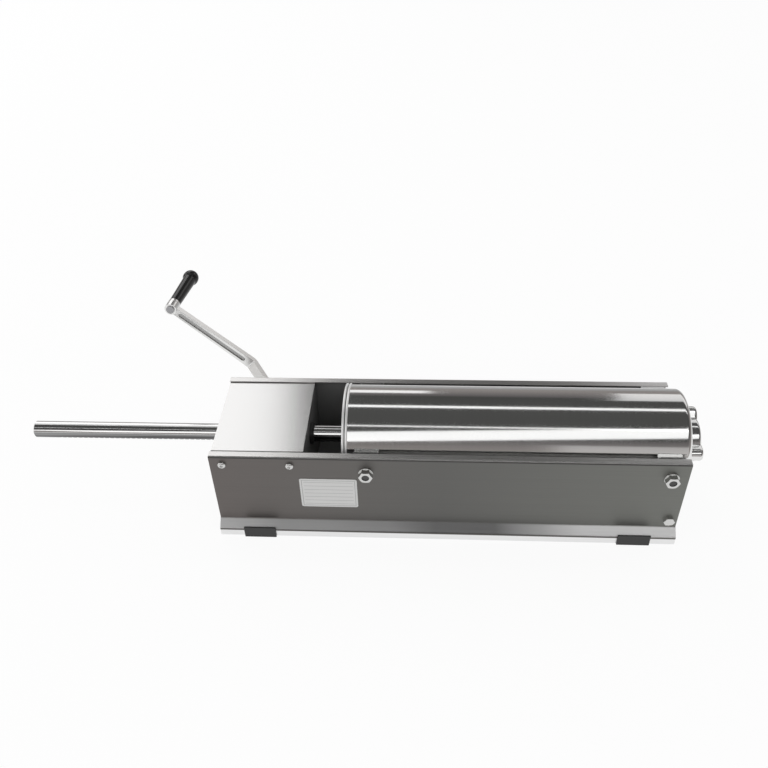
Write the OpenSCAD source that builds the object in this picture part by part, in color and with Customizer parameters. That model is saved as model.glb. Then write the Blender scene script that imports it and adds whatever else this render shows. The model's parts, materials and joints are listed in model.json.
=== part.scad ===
/* [Body] */
// Length of the two side panels
body_l = 640; // [600:5:700]
// Width over the two side panels
body_w = 170; // [162:1:200]
// Height of the side panels' top face above the table
body_h = 146; // [142:1:160]
// Thickness of the folded sheet
sheet = 1.5; // [1:0.1:2]
// Middle-line radius of each fold in the sheet
fold_r = 2; // [1.6:0.1:3]
// Width of the inward flange along the top of a side panel
flange_w = 11; // [8:0.5:12]
// How far the bottom skirt stands out from the wall
flare_out = 12; // [6:0.5:16]
// Height of the slanted flare above the skirt
flare_h = 11; // [6:0.5:14]
// Height of the upright skirt below the flare
skirt_h = 13; // [11:0.5:18]
// Height of the floor pan's underside above the table
floor_h = 30.5; // [29:0.5:33]
// Height of the floor pan's side lips
pan_lip = 15; // [12:0.5:20]
// Depth of the side flanges on the cross plates
cross_flange = 23.5; // [22:0.5:25]
// Gap between the flanges of the panels and the gearbox cover
cover_gap = 0.6; // [0.4:0.1:1]
// Length of the gearbox cover
cover_l = 127; // [127:1:140]
// Depth of the gearbox cover's side flaps
cover_flap = 36; // [24:1:40]
// Height of the front apron above the table
apron_h = 104; // [80:1:106]
// Length of the blank plate on the near wall
plate_l = 79; // [50:1:84]
// Height of the blank plate
plate_h = 55; // [30:1:58]
// Thickness of the blank plate
plate_t = 0.8; // [0.5:0.1:1]
// Distance of the blank plate from the rear end of the body
plate_inset = 120; // [115:1:126]
// Height of the blank plate's lower edge
plate_low = 52.5; // [45:0.5:54]

/* [Feet] */
// Length of a rubber foot along the skirt
foot_l = 45; // [30:1:60]
// Distance from the end of the body to a foot
foot_inset = 35; // [20:1:80]
// Thickness of a foot's lips
foot_wall = 2.5; // [2:0.1:3]
// Thickness of rubber under the skirt
foot_sole = 1.5; // [1.2:0.1:3]
// Height of a foot's outer lip
foot_h = 19.5; // [17:0.5:22]

/* [Cylinder] */
// Height of the cylinder and rod axis above the table
axis_h = 112.5; // [112:0.5:114]
// Inside diameter of the meat cylinder
cyl_id = 138; // [134:0.5:139]
// Wall of the meat cylinder
cyl_wall = 1.5; // [1:0.1:1.6]
// Length of the meat cylinder
cyl_l = 467.5; // [464:0.5:471]
// How far the cylinder's front face stands beyond the side panels
cyl_overhang = 5.5; // [4:0.5:9]
// Outside radius of the cylinder's rounded front shoulder
shoulder_r = 8; // [5:0.5:12]
// How far the rolled rim at the open end stands out
rim_out = 2; // [1:0.1:2.5]
// Length of each of the two rings of the rim
rim_l = 3.2; // [2.5:0.1:4.5]
// Length of the groove between the two rings
rim_groove = 1.5; // [1:0.1:2]
// Length of a cradle along the cylinder
cradle_l = 33; // [24:1:34]
// Thickness of a cradle band
cradle_t = 2.5; // [2:0.1:3.5]
// Distance of the rear cradle from the cylinder's open end
rear_cradle_in = 34; // [30:1:70]
// Distance of the front cradle from the front end of the body
front_cradle_in = 23; // [21:0.5:60]
// Height of the cradle studs
stud_h = 120.5; // [120:0.5:126]
// Length of the stop lug under the cylinder
stop_l = 14; // [10:0.5:20]
// Width of the stop lug
stop_w = 32; // [20:1:40]
// How far the stop lug stands down from the cylinder
stop_drop = 8; // [5:0.5:8.5]

/* [Outlet] */
// Bore of the outlet neck
neck_id = 44; // [36:0.5:46]
// Outside diameter of the outlet neck's thread
neck_od = 52; // [50:0.5:56]
// Length of the outlet neck with its flange
neck_l = 16; // [14:0.5:22]
// Diameter of the neck's weld flange
neck_flange_d = 60; // [57:0.5:66]
// Thickness of the neck's weld flange
neck_flange_t = 2; // [1.5:0.1:3]
// Thickness of the flat gasket in the ring nut
gasket_t = 2; // [1.5:0.1:4]
// Wall of the ring nut around the thread
nut_wall = 5; // [4:0.5:7]
// Thickness of the ring nut's front lip
nut_lip = 4.5; // [3:0.5:6]
// Number of ears on the ring nut
nut_ears = 3; // [2:1:6]
// Radius of a ring nut ear
ear_r = 9; // [7:0.5:10]
// Reach of the ears from the outlet axis
ear_reach = 46; // [42:0.5:50]
// Direction of the first ear at rest, measured up from the crank side
ear_turn = 50; // [0:1:120]

/* [Ram] */
// Diameter of the rack rod
rod_d = 24; // [22:0.5:26]
// How far the rack rod stands out behind the body at rest
rod_out = 276; // [200:1:300]
// Chamfer on the rack rod's free end
rod_chamfer = 1.5; // [0.5:0.1:3]
// Thickness of the piston
piston_l = 30; // [28:0.5:32]
// Thickness of the piston's front wall, ahead of the rod's socket
piston_face = 10; // [8:0.5:12]
// Gap from the piston core to the cylinder wall
piston_gap = 2; // [1:0.1:3]
// Width of a piston seal
seal_w = 5.8; // [4:0.1:7]
// Radial depth of a piston seal
seal_depth = 5.5; // [4:0.1:8]
// Diameter of the bolt that holds the piston
piston_bolt_d = 10; // [8:0.5:12]

/* [Gearbox] */
// Module of the rack and its pinion
rack_m = 2.5; // [2:0.25:2.5]
// Teeth on the rack pinion
pinion_teeth = 12; // [12:1:13]
// Depth of the flat on the rod at the rack's tooth tips
rack_flat = 1; // [0.5:0.1:1.5]
// Module of the reduction gears
gear_m = 2; // [1.75:0.25:2]
// Teeth on the large reduction gear
gear_teeth = 39; // [36:1:40]
// Teeth on the small reduction pinion
slow_teeth = 13; // [13:1:14]
// Pressure angle of all teeth
pressure = 25; // [24:0.5:27]
// Tooth play in each mesh
backlash = 0.3; // [0.2:0.05:0.4]
// Distance of the drive shaft from the rear end of the body
drive_in = 54; // [52:0.5:56]
// Direction from the drive shaft down to the slow shaft
slow_angle = 40; // [34:1:44]
// Diameter of both shafts
shaft_d = 16; // [14:0.5:16]
// Face width of the rack pinion
pinion_w = 20; // [16:0.5:22]
// Face width of the large gear
gear_w = 10; // [8:0.5:12]
// Length of a gear's hub
gear_hub_l = 6; // [5.5:0.5:8]
// Gap from the rod to the large gear
gear_clear = 8; // [7:0.5:12]
// Thickness of the bearing plates
bearing_t = 4; // [3:0.5:5]
// Width of the bearing plates' feet
bearing_foot = 24; // [22:1:28]
// Wall of the plain bushes
bush_wall = 3; // [2:0.25:3.5]
// Thickness of the bushes' flanges
bush_flange = 2; // [1.5:0.1:2.5]
// How far the rod bushes stand out of the gearbox
bush_proud = 6; // [2:0.5:7]
// Diameter of the cross pins in the gears
pin_d = 4; // [3:0.5:4]
// Diameter of the shaft ends that take the crank
crank_end_d = 15; // [12:0.5:15]

/* [Crank] */
// Radius of the crank from the drive shaft to the grip
crank_r = 200; // [160:1:240]
// Direction of the crank at rest, measured up from the outlet end
crank_angle = 135.7; // [90:0.1:150]
// Distance of the crank arm's middle from the far wall
crank_offset = 60; // [56:0.5:75]
// Radius at which the crank arm bends
crank_bend = 50; // [46:0.5:60]
// Width of the crank arm at its bend
arm_w = 16.5; // [14:0.5:18]
// Width of the crank arm at its tip
arm_tip_w = 12.5; // [11:0.5:14]
// Thickness of the crank arm
arm_t = 8.5; // [7:0.5:10]
// Depth of the grooves along the crank arm
arm_groove = 1.6; // [1:0.1:2]
// Diameter of the crank hub
hub_d = 30; // [27:0.5:34]
// Length of the crank hub
hub_l = 26; // [22:0.5:30]
// Gap between the shaft bezel and the crank hub
hub_gap = 7; // [4:0.5:9]
// Diameter of the crank arm's end boss
boss_d = 18; // [16:0.5:24]
// Length of the crank arm's end boss
boss_l = 13; // [11:0.5:18]
// Angle by which the grip leans from the shaft's direction towards the hub
grip_lean = 6; // [0:0.5:8]
// Diameter of the grip's spindle
spindle_d = 8; // [6:0.5:9]
// Length of the metal ferrule behind the grip
ferrule_l = 5; // [4:0.5:12]
// Length of the grip
grip_l = 92; // [76:1:110]
// Diameter of the grip's shaft at the ferrule
grip_d = 17; // [15:0.5:19]
// How much the grip's shaft widens towards its knob
grip_taper = 2.5; // [1:0.5:3.5]
// Diameter of the knob at the grip's end
knob_d = 24; // [23:0.1:30]
// Length of the knob at the grip's end
knob_l = 22; // [18:1:30]

/* [Fasteners] */
// Diameter of the cradle studs
stud_d = 10; // [8:0.5:12]
// Diameter of the cover bolts
cover_bolt_d = 6; // [5:0.5:7]
// Height of the cover bolts
cover_bolt_h = 132; // [128:0.5:133]
// Distance of the cover bolts from the ends of the cover
cover_bolt_in = 17.5; // [16:0.5:20]
// Diameter of the apron bolts
apron_bolt_d = 8; // [6:0.5:8]
// Height of the apron bolts
apron_bolt_h = 39; // [38.5:0.5:40]
// Distance of the apron bolts from the front end of the body
apron_bolt_in = 12; // [10:0.5:14]
// Diameter of the bearing plate screws
plate_screw_d = 6; // [5:0.5:7]

/* [Fits] */
// Radial running clearance of a shaft or rod in its bush
run_gap = 0.05; // [0.02:0.01:0.1]
// Radial clearance of a fastener in its hole
hole_gap = 0.2; // [0.1:0.05:0.4]
// Clearance of a piece that is pressed or pinned in place
seat_gap = 0.05; // [0.02:0.01:0.1]
// Clearance between pieces that move past each other
move_gap = 0.3; // [0.25:0.05:0.5]
// Radial clearance of a shaft where it passes a sheet edge
pass_gap = 2; // [1:0.5:3]

/* [Hidden] */
$fn = 64;

// Colours of the finishes
bright_steel = [0.86, 0.86, 0.85];
brushed_steel = [0.60, 0.60, 0.58];
black_steel = [0.10, 0.10, 0.10];
black_rubber = [0.09, 0.09, 0.09];
black_plastic = [0.05, 0.05, 0.05];
white_plastic = [0.92, 0.92, 0.90];
dark_steel = [0.42, 0.42, 0.43];
bronze = [0.72, 0.55, 0.30];

// Cut-through allowance, so that no cut ends on a face
cut = 1;
fold_steps = 6;

// Levels and planes of the folded body
rear_x = -body_l / 2;
front_x = body_l / 2;
wall_out = body_w / 2;
wall_in = wall_out - sheet;
lining = wall_in - sheet;
lining_mid = lining - sheet / 2;
lip_mid = wall_in - sheet / 2;
skirt_out = wall_out + flare_out;
skirt_low = foot_sole;
flare_low = skirt_low + skirt_h;
flare_top = flare_low + flare_h;
floor_top = floor_h + sheet;
cover_top = body_h - sheet - cover_gap;
cover_under = cover_top - sheet;
end_inset = 1;
cross_low = floor_top + fold_r;
cross_top = cover_under - fold_r;
cover_rear = rear_x + end_inset;
cover_front = rear_x + cover_l;

// Shares of a thread's diameter that its nut, head and washers take, and how far a thread passes its nut
nut_share = 0.8;
head_share = 0.65;
flats_share = 1.7;
washer_share = 2;
wide_washer_share = 2.6;
thread_past = 1;

// Stations of the cylinder and its cradles
cyl_od = cyl_id + 2 * cyl_wall;
cradle_in = cyl_od / 2 + seat_gap;
cradle_out = cradle_in + cradle_t;
cyl_front = front_x + cyl_overhang;
cyl_rear = cyl_front - cyl_l;
rear_cradle_x = cyl_rear + rear_cradle_in;
front_cradle_x = front_x - front_cradle_in;
cradle_xs = [rear_cradle_x, front_cradle_x];
washer_t = 2;
stud_washer_d = washer_share * stud_d;
stud_nut_h = nut_share * stud_d;
stud_sunk = 1;
stud_end = wall_out + washer_t + stud_nut_h - stud_sunk;
liner_gap = 1.5;

// Stations of the outlet
neck_end = cyl_front + neck_l;
nut_rear = cyl_front + neck_flange_t + move_gap;
gasket_rear = neck_end + seat_gap;
nut_shoulder = gasket_rear + gasket_t + seat_gap;
nut_front = nut_shoulder + nut_lip;
nut_bore = neck_od + 2 * move_gap;
nut_body_d = nut_bore + 2 * nut_wall;
lip_step = 1;
lip_bore = neck_id + 2 * lip_step;

// Stations of the ram: the rod's free end stays in its rear bush at the end of the stroke
rod_rear = rear_x - rod_out;
rod_stay = 4;
stroke_forward = rod_out - rod_stay;
shoulder_gap = 1;
piston_stop = cyl_front - shoulder_r - shoulder_gap;
piston_front = piston_stop - stroke_forward;
piston_rear = piston_front - piston_l;
rod_front = piston_front - piston_face;
piston_exit = 2;
piston_out = cyl_rear - piston_exit;
stroke_back = piston_front - piston_out;
seal_groove_w = seal_w + 4 * seat_gap;
seal_xs = [piston_rear + piston_l / 4, piston_rear + 3 * piston_l / 4];
seal_out = cyl_id / 2 - move_gap;
seal_in = seal_out - seal_depth;

// Teeth
function pitch_r(m, teeth) = m * teeth / 2;
rack_pitch = PI * rack_m;
rack_tip = rod_d / 2 - rack_flat;
rack_line = rack_tip - rack_m;
dedendum = 1.25;
pinion_r = pitch_r(rack_m, pinion_teeth);
gear_r = pitch_r(gear_m, gear_teeth);
slow_r = pitch_r(gear_m, slow_teeth);

// Stations of the shafts
drive_x = rear_x + drive_in;
drive_z = axis_h - rack_line - pinion_r;
shaft_step = gear_r + slow_r;
slow_x = drive_x + shaft_step * cos(slow_angle);
slow_z = drive_z - shaft_step * sin(slow_angle);
shafts = [[drive_x, drive_z], [slow_x, slow_z]];
side_play = 0.5;
pinion_near = -pinion_w / 2;
pinion_far = pinion_w / 2;
pinion_hub_near = pinion_near - gear_hub_l;
near_bush_face = pinion_hub_near - side_play;
near_plate_face = near_bush_face - bush_flange;
near_plate_back = near_plate_face - bearing_t;
gear_near = rod_d / 2 + gear_clear;
gear_far = gear_near + gear_w;
gear_hub_far = gear_far + gear_hub_l;
far_bush_face = gear_hub_far + side_play;
far_plate_face = far_bush_face + bush_flange;
far_plate_back = far_plate_face + bearing_t;
shaft_tail = 3;
shaft_near = near_plate_back - shaft_tail;
mesh_margin = 1;
slow_near = gear_near - mesh_margin;
slow_far = gear_far + mesh_margin;
collar_wall = 2;
gear_hub_wall = 4;
slow_collar_d = shaft_d + 2 * collar_wall;
gear_hub_d = shaft_d + 2 * gear_hub_wall;
slow_hub_d = shaft_d + 2 * collar_wall;
bush_bore = shaft_d + 2 * run_gap;
bush_od = bush_bore + 2 * bush_wall;
bush_brim = 3;
bush_flange_d = bush_od + 2 * bush_brim;
plate_margin = 10;
plate_rear = drive_x - bush_od / 2 - plate_margin;
plate_front = slow_x + bush_od / 2 + plate_margin;
plate_top = drive_z + bush_od / 2 + plate_margin;
plate_fold_in = 1;
plate_fold_r = bearing_t + plate_fold_in;
plate_screw_in = 12;
plate_screw_xs = [plate_rear + plate_screw_in, plate_front - plate_screw_in];
plate_foot_mid = bearing_foot / 2 + plate_fold_r / 2;
rod_bush_bore = rod_d + 2 * run_gap;
rod_bush_od = rod_bush_bore + 2 * bush_wall;
rod_bush_brim = 4;
rod_bush_flange_d = rod_bush_od + 2 * rod_bush_brim;
rod_bush_l = 17;

// Stations of the crank
bezel_t = 2;
bezel_bore = shaft_d + 2 * hole_gap;
bezel_barrel_d = bezel_bore + 2 * bush_wall;
bezel_brim = 4;
bezel_flange_d = bezel_barrel_d + 2 * bezel_brim;
bezel_out = wall_out + bezel_t;
hub_near = bezel_out + hub_gap;
hub_far = hub_near + hub_l;
hub_mid = (hub_near + hub_far) / 2;
shaft_sunk = 1;
shaft_far = hub_far - shaft_sunk;
hub_bore = crank_end_d + 2 * seat_gap;
arm_y = wall_out + crank_offset;
arm_fold_r = arm_t;
groove_share = 0.42;
groove_w = groove_share * arm_w;
boss_near = arm_y - boss_l / 2;
boss_far = arm_y + boss_l / 2;
ferrule_far = boss_far + ferrule_l;
ferrule_step = 0.5;
ferrule_d = grip_d + 2 * ferrule_step;
grip_near = ferrule_far + move_gap;
grip_far = grip_near + grip_l;
grip_round = knob_d / 2;
grip_wall_end = 6;
spindle_far = grip_far - grip_wall_end - move_gap;
rivet_t = 2;
rivet_share = 1.5;
set_screw_d = 6;
set_screw_bite = 3;
set_screw_tip = crank_end_d / 2 - set_screw_bite;

// The part's origin lies under the middle of its outer box, on the table
box_rear = rod_rear;
box_front = nut_front;
box_near = -(skirt_out + foot_wall);
box_far = arm_y + (grip_far - grip_round - arm_y) * cos(grip_lean) + grip_round;
origin = [(box_rear + box_front) / 2, (box_near + box_far) / 2, 0];

// Outline of a folded sheet: a middle line with rounded corners, thickened to both sides
function unit(v) = v / norm(v);
function left_of(v) = [-v[1], v[0]];
function turned(v, a) = [v[0] * cos(a) - v[1] * sin(a), v[0] * sin(a) + v[1] * cos(a)];
function corner(a, b, c, r) =
    let(
        d1 = unit(b - a),
        d2 = unit(c - b),
        swing = atan2(cross(d1, d2), d1 * d2),
        side = sign(swing),
        start = left_of(d1),
        centre = b - d1 * r * tan(abs(swing) / 2) + start * side * r
    )
    [for (i = [0:fold_steps]) let(n = turned(start, swing * i / fold_steps)) [centre - n * side * r, n]];
function folded(path, r) =
    let(last = len(path) - 1)
    concat(
        [[path[0], left_of(unit(path[1] - path[0]))]],
        [for (i = [1:last - 1]) each corner(path[i - 1], path[i], path[i + 1], r)],
        [[path[last], left_of(unit(path[last] - path[last - 1]))]]
    );
function strip(path, t, r) =
    let(line = folded(path, r), last = len(line) - 1)
    concat(
        [for (p = line) p[0] + p[1] * t / 2],
        [for (i = [0:last]) line[last - i][0] - line[last - i][1] * t / 2]
    );

// Outline of a spur gear with one tooth centred on the direction start
function involute(a) = tan(a) * 180 / PI - a;
function tooth_half(m, teeth, r) =
    let(rp = pitch_r(m, teeth), rb = rp * cos(pressure))
    90 / teeth - backlash / (4 * rp) * 180 / PI + involute(pressure) - involute(acos(min(1, rb / r)));
function gear_outline(m, teeth, start) =
    let(
        rp = pitch_r(m, teeth),
        base = rp * cos(pressure),
        root = rp - dedendum * m,
        tip = rp + m,
        low = max(base, root),
        steps = 4,
        flank = [for (i = [0:steps]) low + (tip - low) * i / steps],
        foot = tooth_half(m, teeth, low)
    )
    [for (k = [0:teeth - 1]) let(mid = start + k * 360 / teeth)
        each concat(
            [polar(root, mid - foot)],
            [for (r = flank) polar(r, mid - tooth_half(m, teeth, r))],
            [for (i = [0:steps]) let(r = flank[steps - i]) polar(r, mid + tooth_half(m, teeth, r))],
            [polar(root, mid + foot)]
        )];
function polar(r, a) = [r * cos(a), r * sin(a)];

// Extrusions along the three axes, of outlines drawn in (y, z), (x, z) and (x, y)
module run_x(x0, x1) {
    translate([x0, 0, 0]) rotate([90, 0, 90]) linear_extrude(x1 - x0) children();
}
module run_y(y0, y1) {
    translate([0, y1, 0]) rotate([90, 0, 0]) linear_extrude(y1 - y0) children();
}
module run_z(z0, z1) {
    translate([0, 0, z0]) linear_extrude(z1 - z0) children();
}

// Round bars along the three axes
module bar_x(d, x0, x1, y = 0, z = axis_h) {
    translate([x0, y, z]) rotate([0, 90, 0]) cylinder(d = d, h = x1 - x0);
}
module bar_y(d, y0, y1, x, z) {
    translate([x, y0, z]) rotate([-90, 0, 0]) cylinder(d = d, h = y1 - y0);
}
module bar_z(d, z0, z1, x, y) {
    translate([x, y, z0]) cylinder(d = d, h = z1 - z0);
}

// Turned pieces: outlines of (radius, station) spun about the cylinder axis or a shaft
module spun_x() {
    translate([0, 0, axis_h]) rotate([0, 90, 0]) rotate_extrude() children();
}
module spun_y(x, z) {
    translate([x, 0, z]) rotate([-90, 0, 0]) rotate_extrude() children();
}

// A hexagon of a given width across flats, with the corners turned off
function across_flats(d) = flats_share * d;
module hex_block(flats, h) {
    corner_d = flats / cos(30);
    bevel = (corner_d - flats) / 2;
    intersection() {
        cylinder(d = corner_d, h = h, $fn = 6);
        rotate_extrude() polygon([
            [0, 0], [corner_d / 2, 0], [corner_d / 2, h - bevel / 2], [flats / 2, h], [0, h]
        ]);
    }
}
module nut_y(d, h, y0, x, z) {
    translate([x, y0, z]) rotate([-90, 0, 0]) difference() {
        hex_block(across_flats(d), h);
        translate([0, 0, -cut]) cylinder(d = d + 2 * hole_gap, h = h + 2 * cut);
    }
}

// Repeats on the two sides of the body, drawn on the far side
module both_sides() {
    children();
    mirror([0, 1, 0]) children();
}

// Moves the assembly so that its origin lies at the part's reference point
module placed() {
    translate(-origin) children();
}

// Folded body
panel_path = [
    [wall_out - flange_w, body_h - sheet / 2],
    [wall_out - sheet / 2, body_h - sheet / 2],
    [wall_out - sheet / 2, flare_top],
    [skirt_out - sheet / 2, flare_low],
    [skirt_out - sheet / 2, skirt_low]
];
cover_bolt_xs = [rear_x + cover_bolt_in, cover_front - cover_bolt_in];
apron_bolt_x = front_x - apron_bolt_in;

module cover_bolt_holes() {
    for (x = cover_bolt_xs) bar_y(cover_bolt_d + 2 * hole_gap, 0, wall_out + cut, x, cover_bolt_h);
}
module apron_bolt_holes() {
    bar_y(apron_bolt_d + 2 * hole_gap, 0, wall_out + cut, apron_bolt_x, apron_bolt_h);
}
module side_panel() {
    difference() {
        run_x(rear_x, front_x) polygon(strip(panel_path, sheet, fold_r));
        cover_bolt_holes();
        apron_bolt_holes();
        for (x = cradle_xs) bar_y(stud_d + 2 * hole_gap, 0, wall_out + cut, x, stud_h);
    }
}
module near_side_panel() {
    color(brushed_steel) placed() mirror([0, 1, 0]) side_panel();
}
module far_side_panel() {
    color(brushed_steel) placed() difference() {
        side_panel();
        for (s = shafts) bar_y(bezel_barrel_d + 2 * seat_gap, 0, wall_out + cut, s[0], s[1]);
    }
}

floor_mid = floor_top - sheet / 2;
pan_path = [
    [-lip_mid, floor_top + pan_lip],
    [-lip_mid, floor_mid],
    [lip_mid, floor_mid],
    [lip_mid, floor_top + pan_lip]
];
module plate_screw_holes() {
    for (x = plate_screw_xs, y = plate_screw_ys) {
        bar_z(plate_screw_d + 2 * hole_gap, 0, floor_top + bearing_t + cut, x, y);
    }
}
module floor_pan() {
    color(brushed_steel) placed() difference() {
        run_x(rear_x + end_inset, front_x - end_inset) polygon(strip(pan_path, sheet, fold_r));
        both_sides() apron_bolt_holes();
        plate_screw_holes();
        for (s = shafts) bar_y(shaft_d + 2 * pass_gap, lining - cut, wall_in + cut, s[0], s[1]);
    }
}

cover_path = [
    [-lip_mid, cover_top - cover_flap],
    [-lip_mid, cover_top - sheet / 2],
    [lip_mid, cover_top - sheet / 2],
    [lip_mid, cover_top - cover_flap]
];
module gearbox_cover() {
    color(bright_steel) placed() difference() {
        run_x(cover_rear, cover_front) polygon(strip(cover_path, sheet, fold_r));
        both_sides() cover_bolt_holes();
    }
}

// A plate across the trough, with a flange along each wall that points to dir
module cross_plate(face_x, dir, low, high) {
    mid = face_x + dir * sheet / 2;
    tail = face_x + dir * cross_flange;
    run_z(low, high) polygon(strip(
        [[tail, -lining_mid], [mid, -lining_mid], [mid, lining_mid], [tail, lining_mid]], sheet, fold_r
    ));
}
module rod_bush_hole(x) {
    bar_x(rod_bush_od + 2 * seat_gap, x - sheet - cut, x + sheet + cut);
}
module rear_end_plate() {
    color(brushed_steel) placed() difference() {
        cross_plate(cover_rear, 1, cross_low, cross_top);
        rod_bush_hole(cover_rear);
        both_sides() cover_bolt_holes();
    }
}
module gearbox_bulkhead() {
    color(black_steel) placed() difference() {
        cross_plate(cover_front, -1, cross_low, cross_top);
        rod_bush_hole(cover_front);
        both_sides() cover_bolt_holes();
    }
}
module front_apron() {
    saddle_gap = 4;
    color(brushed_steel) placed() difference() {
        cross_plate(front_x - end_inset, -1, cross_low, apron_h);
        bar_x(cyl_od + 2 * saddle_gap, front_x - sheet - 2 * cut, front_x + cut);
        both_sides() apron_bolt_holes();
    }
}

liner_path = [
    [-lining_mid, cover_top],
    [-lining_mid, floor_top + sheet / 2],
    [lining_mid, floor_top + sheet / 2],
    [lining_mid, cover_top]
];
module trough_liner() {
    liner_end = rear_cradle_x - cradle_l / 2 - liner_gap;
    color(black_steel) placed()
        run_x(cover_front, liner_end) polygon(strip(liner_path, sheet, fold_r));
}

module data_plate() {
    corner_r = 3;
    x0 = rear_x + plate_inset;
    color(white_plastic) placed() run_y(-wall_out - plate_t, -wall_out) {
        translate([x0 + corner_r, plate_low]) square([plate_l - 2 * corner_r, plate_h]);
        translate([x0, plate_low + corner_r]) square([plate_l, plate_h - 2 * corner_r]);
        for (x = [corner_r, plate_l - corner_r], z = [corner_r, plate_h - corner_r]) {
            translate([x0 + x, plate_low + z]) circle(r = corner_r);
        }
    }
}

module rubber_feet() {
    skirt_in = skirt_out - sheet;
    inner_lip_share = 0.85;
    inner_lip_h = skirt_low + inner_lip_share * skirt_h;
    ease = 0.8;
    section = [
        [skirt_in - foot_wall, 0],
        [skirt_out + foot_wall - ease, 0],
        [skirt_out + foot_wall, ease],
        [skirt_out + foot_wall, foot_h - ease],
        [skirt_out + foot_wall - ease, foot_h],
        [skirt_out, foot_h],
        [skirt_out, skirt_low],
        [skirt_in, skirt_low],
        [skirt_in, inner_lip_h],
        [skirt_in - foot_wall, inner_lip_h]
    ];
    color(black_rubber) placed() both_sides() {
        for (x = [rear_x + foot_inset, front_x - foot_inset - foot_l]) run_x(x, x + foot_l) polygon(section);
    }
}

// Cradles and their fixings
module cradle(x) {
    rear = x - cradle_l / 2;
    front = x + cradle_l / 2;
    difference() {
        union() {
            bar_x(2 * cradle_out, rear, front);
            translate([rear, -cradle_out, axis_h]) cube([cradle_l, 2 * cradle_out, body_h - axis_h]);
        }
        bar_x(2 * cradle_in, rear - cut, front + cut);
        translate([rear - cut, -cradle_in, axis_h])
            cube([cradle_l + 2 * cut, 2 * cradle_in, cradle_out + cut]);
    }
}
module rear_cradle() {
    color(bright_steel) placed() cradle(rear_cradle_x);
}
module front_cradle() {
    color(bright_steel) placed() cradle(front_cradle_x);
}
module cradle_studs() {
    color(dark_steel) placed() both_sides() {
        for (x = cradle_xs) bar_y(stud_d, cradle_out, stud_end, x, stud_h);
    }
}
module stud_ring(y0, y1) {
    for (x = cradle_xs) difference() {
        bar_y(stud_washer_d, y0, y1, x, stud_h);
        bar_y(stud_d + 2 * hole_gap, y0 - cut, y1 + cut, x, stud_h);
    }
}
module cradle_spacers() {
    color(bright_steel) placed() both_sides() stud_ring(cradle_out, wall_in);
}
module cradle_washers() {
    color(bright_steel) placed() both_sides() stud_ring(wall_out, wall_out + washer_t);
}
module cradle_nuts() {
    color(bright_steel) placed() both_sides() {
        for (x = cradle_xs) nut_y(stud_d, stud_nut_h, wall_out + washer_t, x, stud_h);
    }
}

// Bolts with a domed head, through the wall and two sheets behind it
module cover_bolts() {
    dome_r_share = 0.95;
    dome_h_share = 0.75;
    brim_share = 0.4;
    head_r = dome_r_share * cover_bolt_d;
    head_h = dome_h_share * cover_bolt_d;
    tip = lining - sheet - nut_share * cover_bolt_d - thread_past;
    dome_steps = 6;
    outline = concat(
        [[0, tip], [cover_bolt_d / 2, tip], [cover_bolt_d / 2, wall_out], [head_r, wall_out]],
        [for (i = [0:dome_steps]) let(a = 90 * i / dome_steps)
            [head_r * cos(a), wall_out + head_h * (brim_share + (1 - brim_share) * sin(a))]]
    );
    color(bright_steel) placed() both_sides() {
        for (x = cover_bolt_xs) spun_y(x, cover_bolt_h) polygon(outline);
    }
}
module cover_nuts() {
    h = nut_share * cover_bolt_d;
    color(bright_steel) placed() both_sides() {
        for (x = cover_bolt_xs) nut_y(cover_bolt_d, h, lining - sheet - h, x, cover_bolt_h);
    }
}
module apron_bolts() {
    head_h = head_share * apron_bolt_d;
    tip = lining - sheet - nut_share * apron_bolt_d - thread_past;
    color(bright_steel) placed() both_sides() {
        bar_y(apron_bolt_d, tip, wall_out, apron_bolt_x, apron_bolt_h);
        translate([apron_bolt_x, wall_out, apron_bolt_h]) rotate([-90, 0, 0])
            hex_block(across_flats(apron_bolt_d), head_h);
    }
}
module apron_nuts() {
    h = nut_share * apron_bolt_d;
    color(bright_steel) placed() both_sides()
        nut_y(apron_bolt_d, h, lining - sheet - h, apron_bolt_x, apron_bolt_h);
}

// Meat cylinder: a rolled rim at the open rear end, a rounded shoulder at the outlet end
module meat_cylinder() {
    r_out = cyl_od / 2;
    r_in = cyl_id / 2;
    inner_shoulder = shoulder_r - cyl_wall;
    shoulder_steps = 8;
    outline = concat(
        [
            [r_in, cyl_rear],
            [r_out + rim_out, cyl_rear],
            [r_out + rim_out, cyl_rear + rim_l],
            [r_out + rim_out / 3, cyl_rear + rim_l],
            [r_out + rim_out / 3, cyl_rear + rim_l + rim_groove],
            [r_out + rim_out, cyl_rear + rim_l + rim_groove],
            [r_out + rim_out, cyl_rear + 2 * rim_l + rim_groove],
            [r_out, cyl_rear + 2 * rim_l + rim_groove]
        ],
        [for (i = [0:shoulder_steps]) let(a = 90 * i / shoulder_steps)
            [r_out - shoulder_r * (1 - cos(a)), cyl_front - shoulder_r * (1 - sin(a))]],
        [[lip_bore / 2, cyl_front], [lip_bore / 2, cyl_front - cyl_wall]],
        [for (i = [0:shoulder_steps]) let(a = 90 - 90 * i / shoulder_steps)
            [r_in - inner_shoulder * (1 - cos(a)), cyl_front - cyl_wall - inner_shoulder * (1 - sin(a))]]
    );
    color(bright_steel) placed() spun_x() polygon(outline);
}
module cylinder_stop() {
    front = front_cradle_x - cradle_l / 2 - move_gap;
    low = axis_h - cyl_od / 2 - stop_drop;
    color(bright_steel) placed() difference() {
        translate([front - stop_l, -stop_w / 2, low]) cube([stop_l, stop_w, 2 * stop_drop]);
        bar_x(cyl_od, front - stop_l - cut, front + cut);
    }
}
module outlet_neck() {
    color(bright_steel) placed() difference() {
        union() {
            bar_x(neck_flange_d, cyl_front, cyl_front + neck_flange_t);
            bar_x(neck_od, cyl_front, neck_end);
        }
        bar_x(neck_id, cyl_front - cut, neck_end + cut);
    }
}
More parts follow.
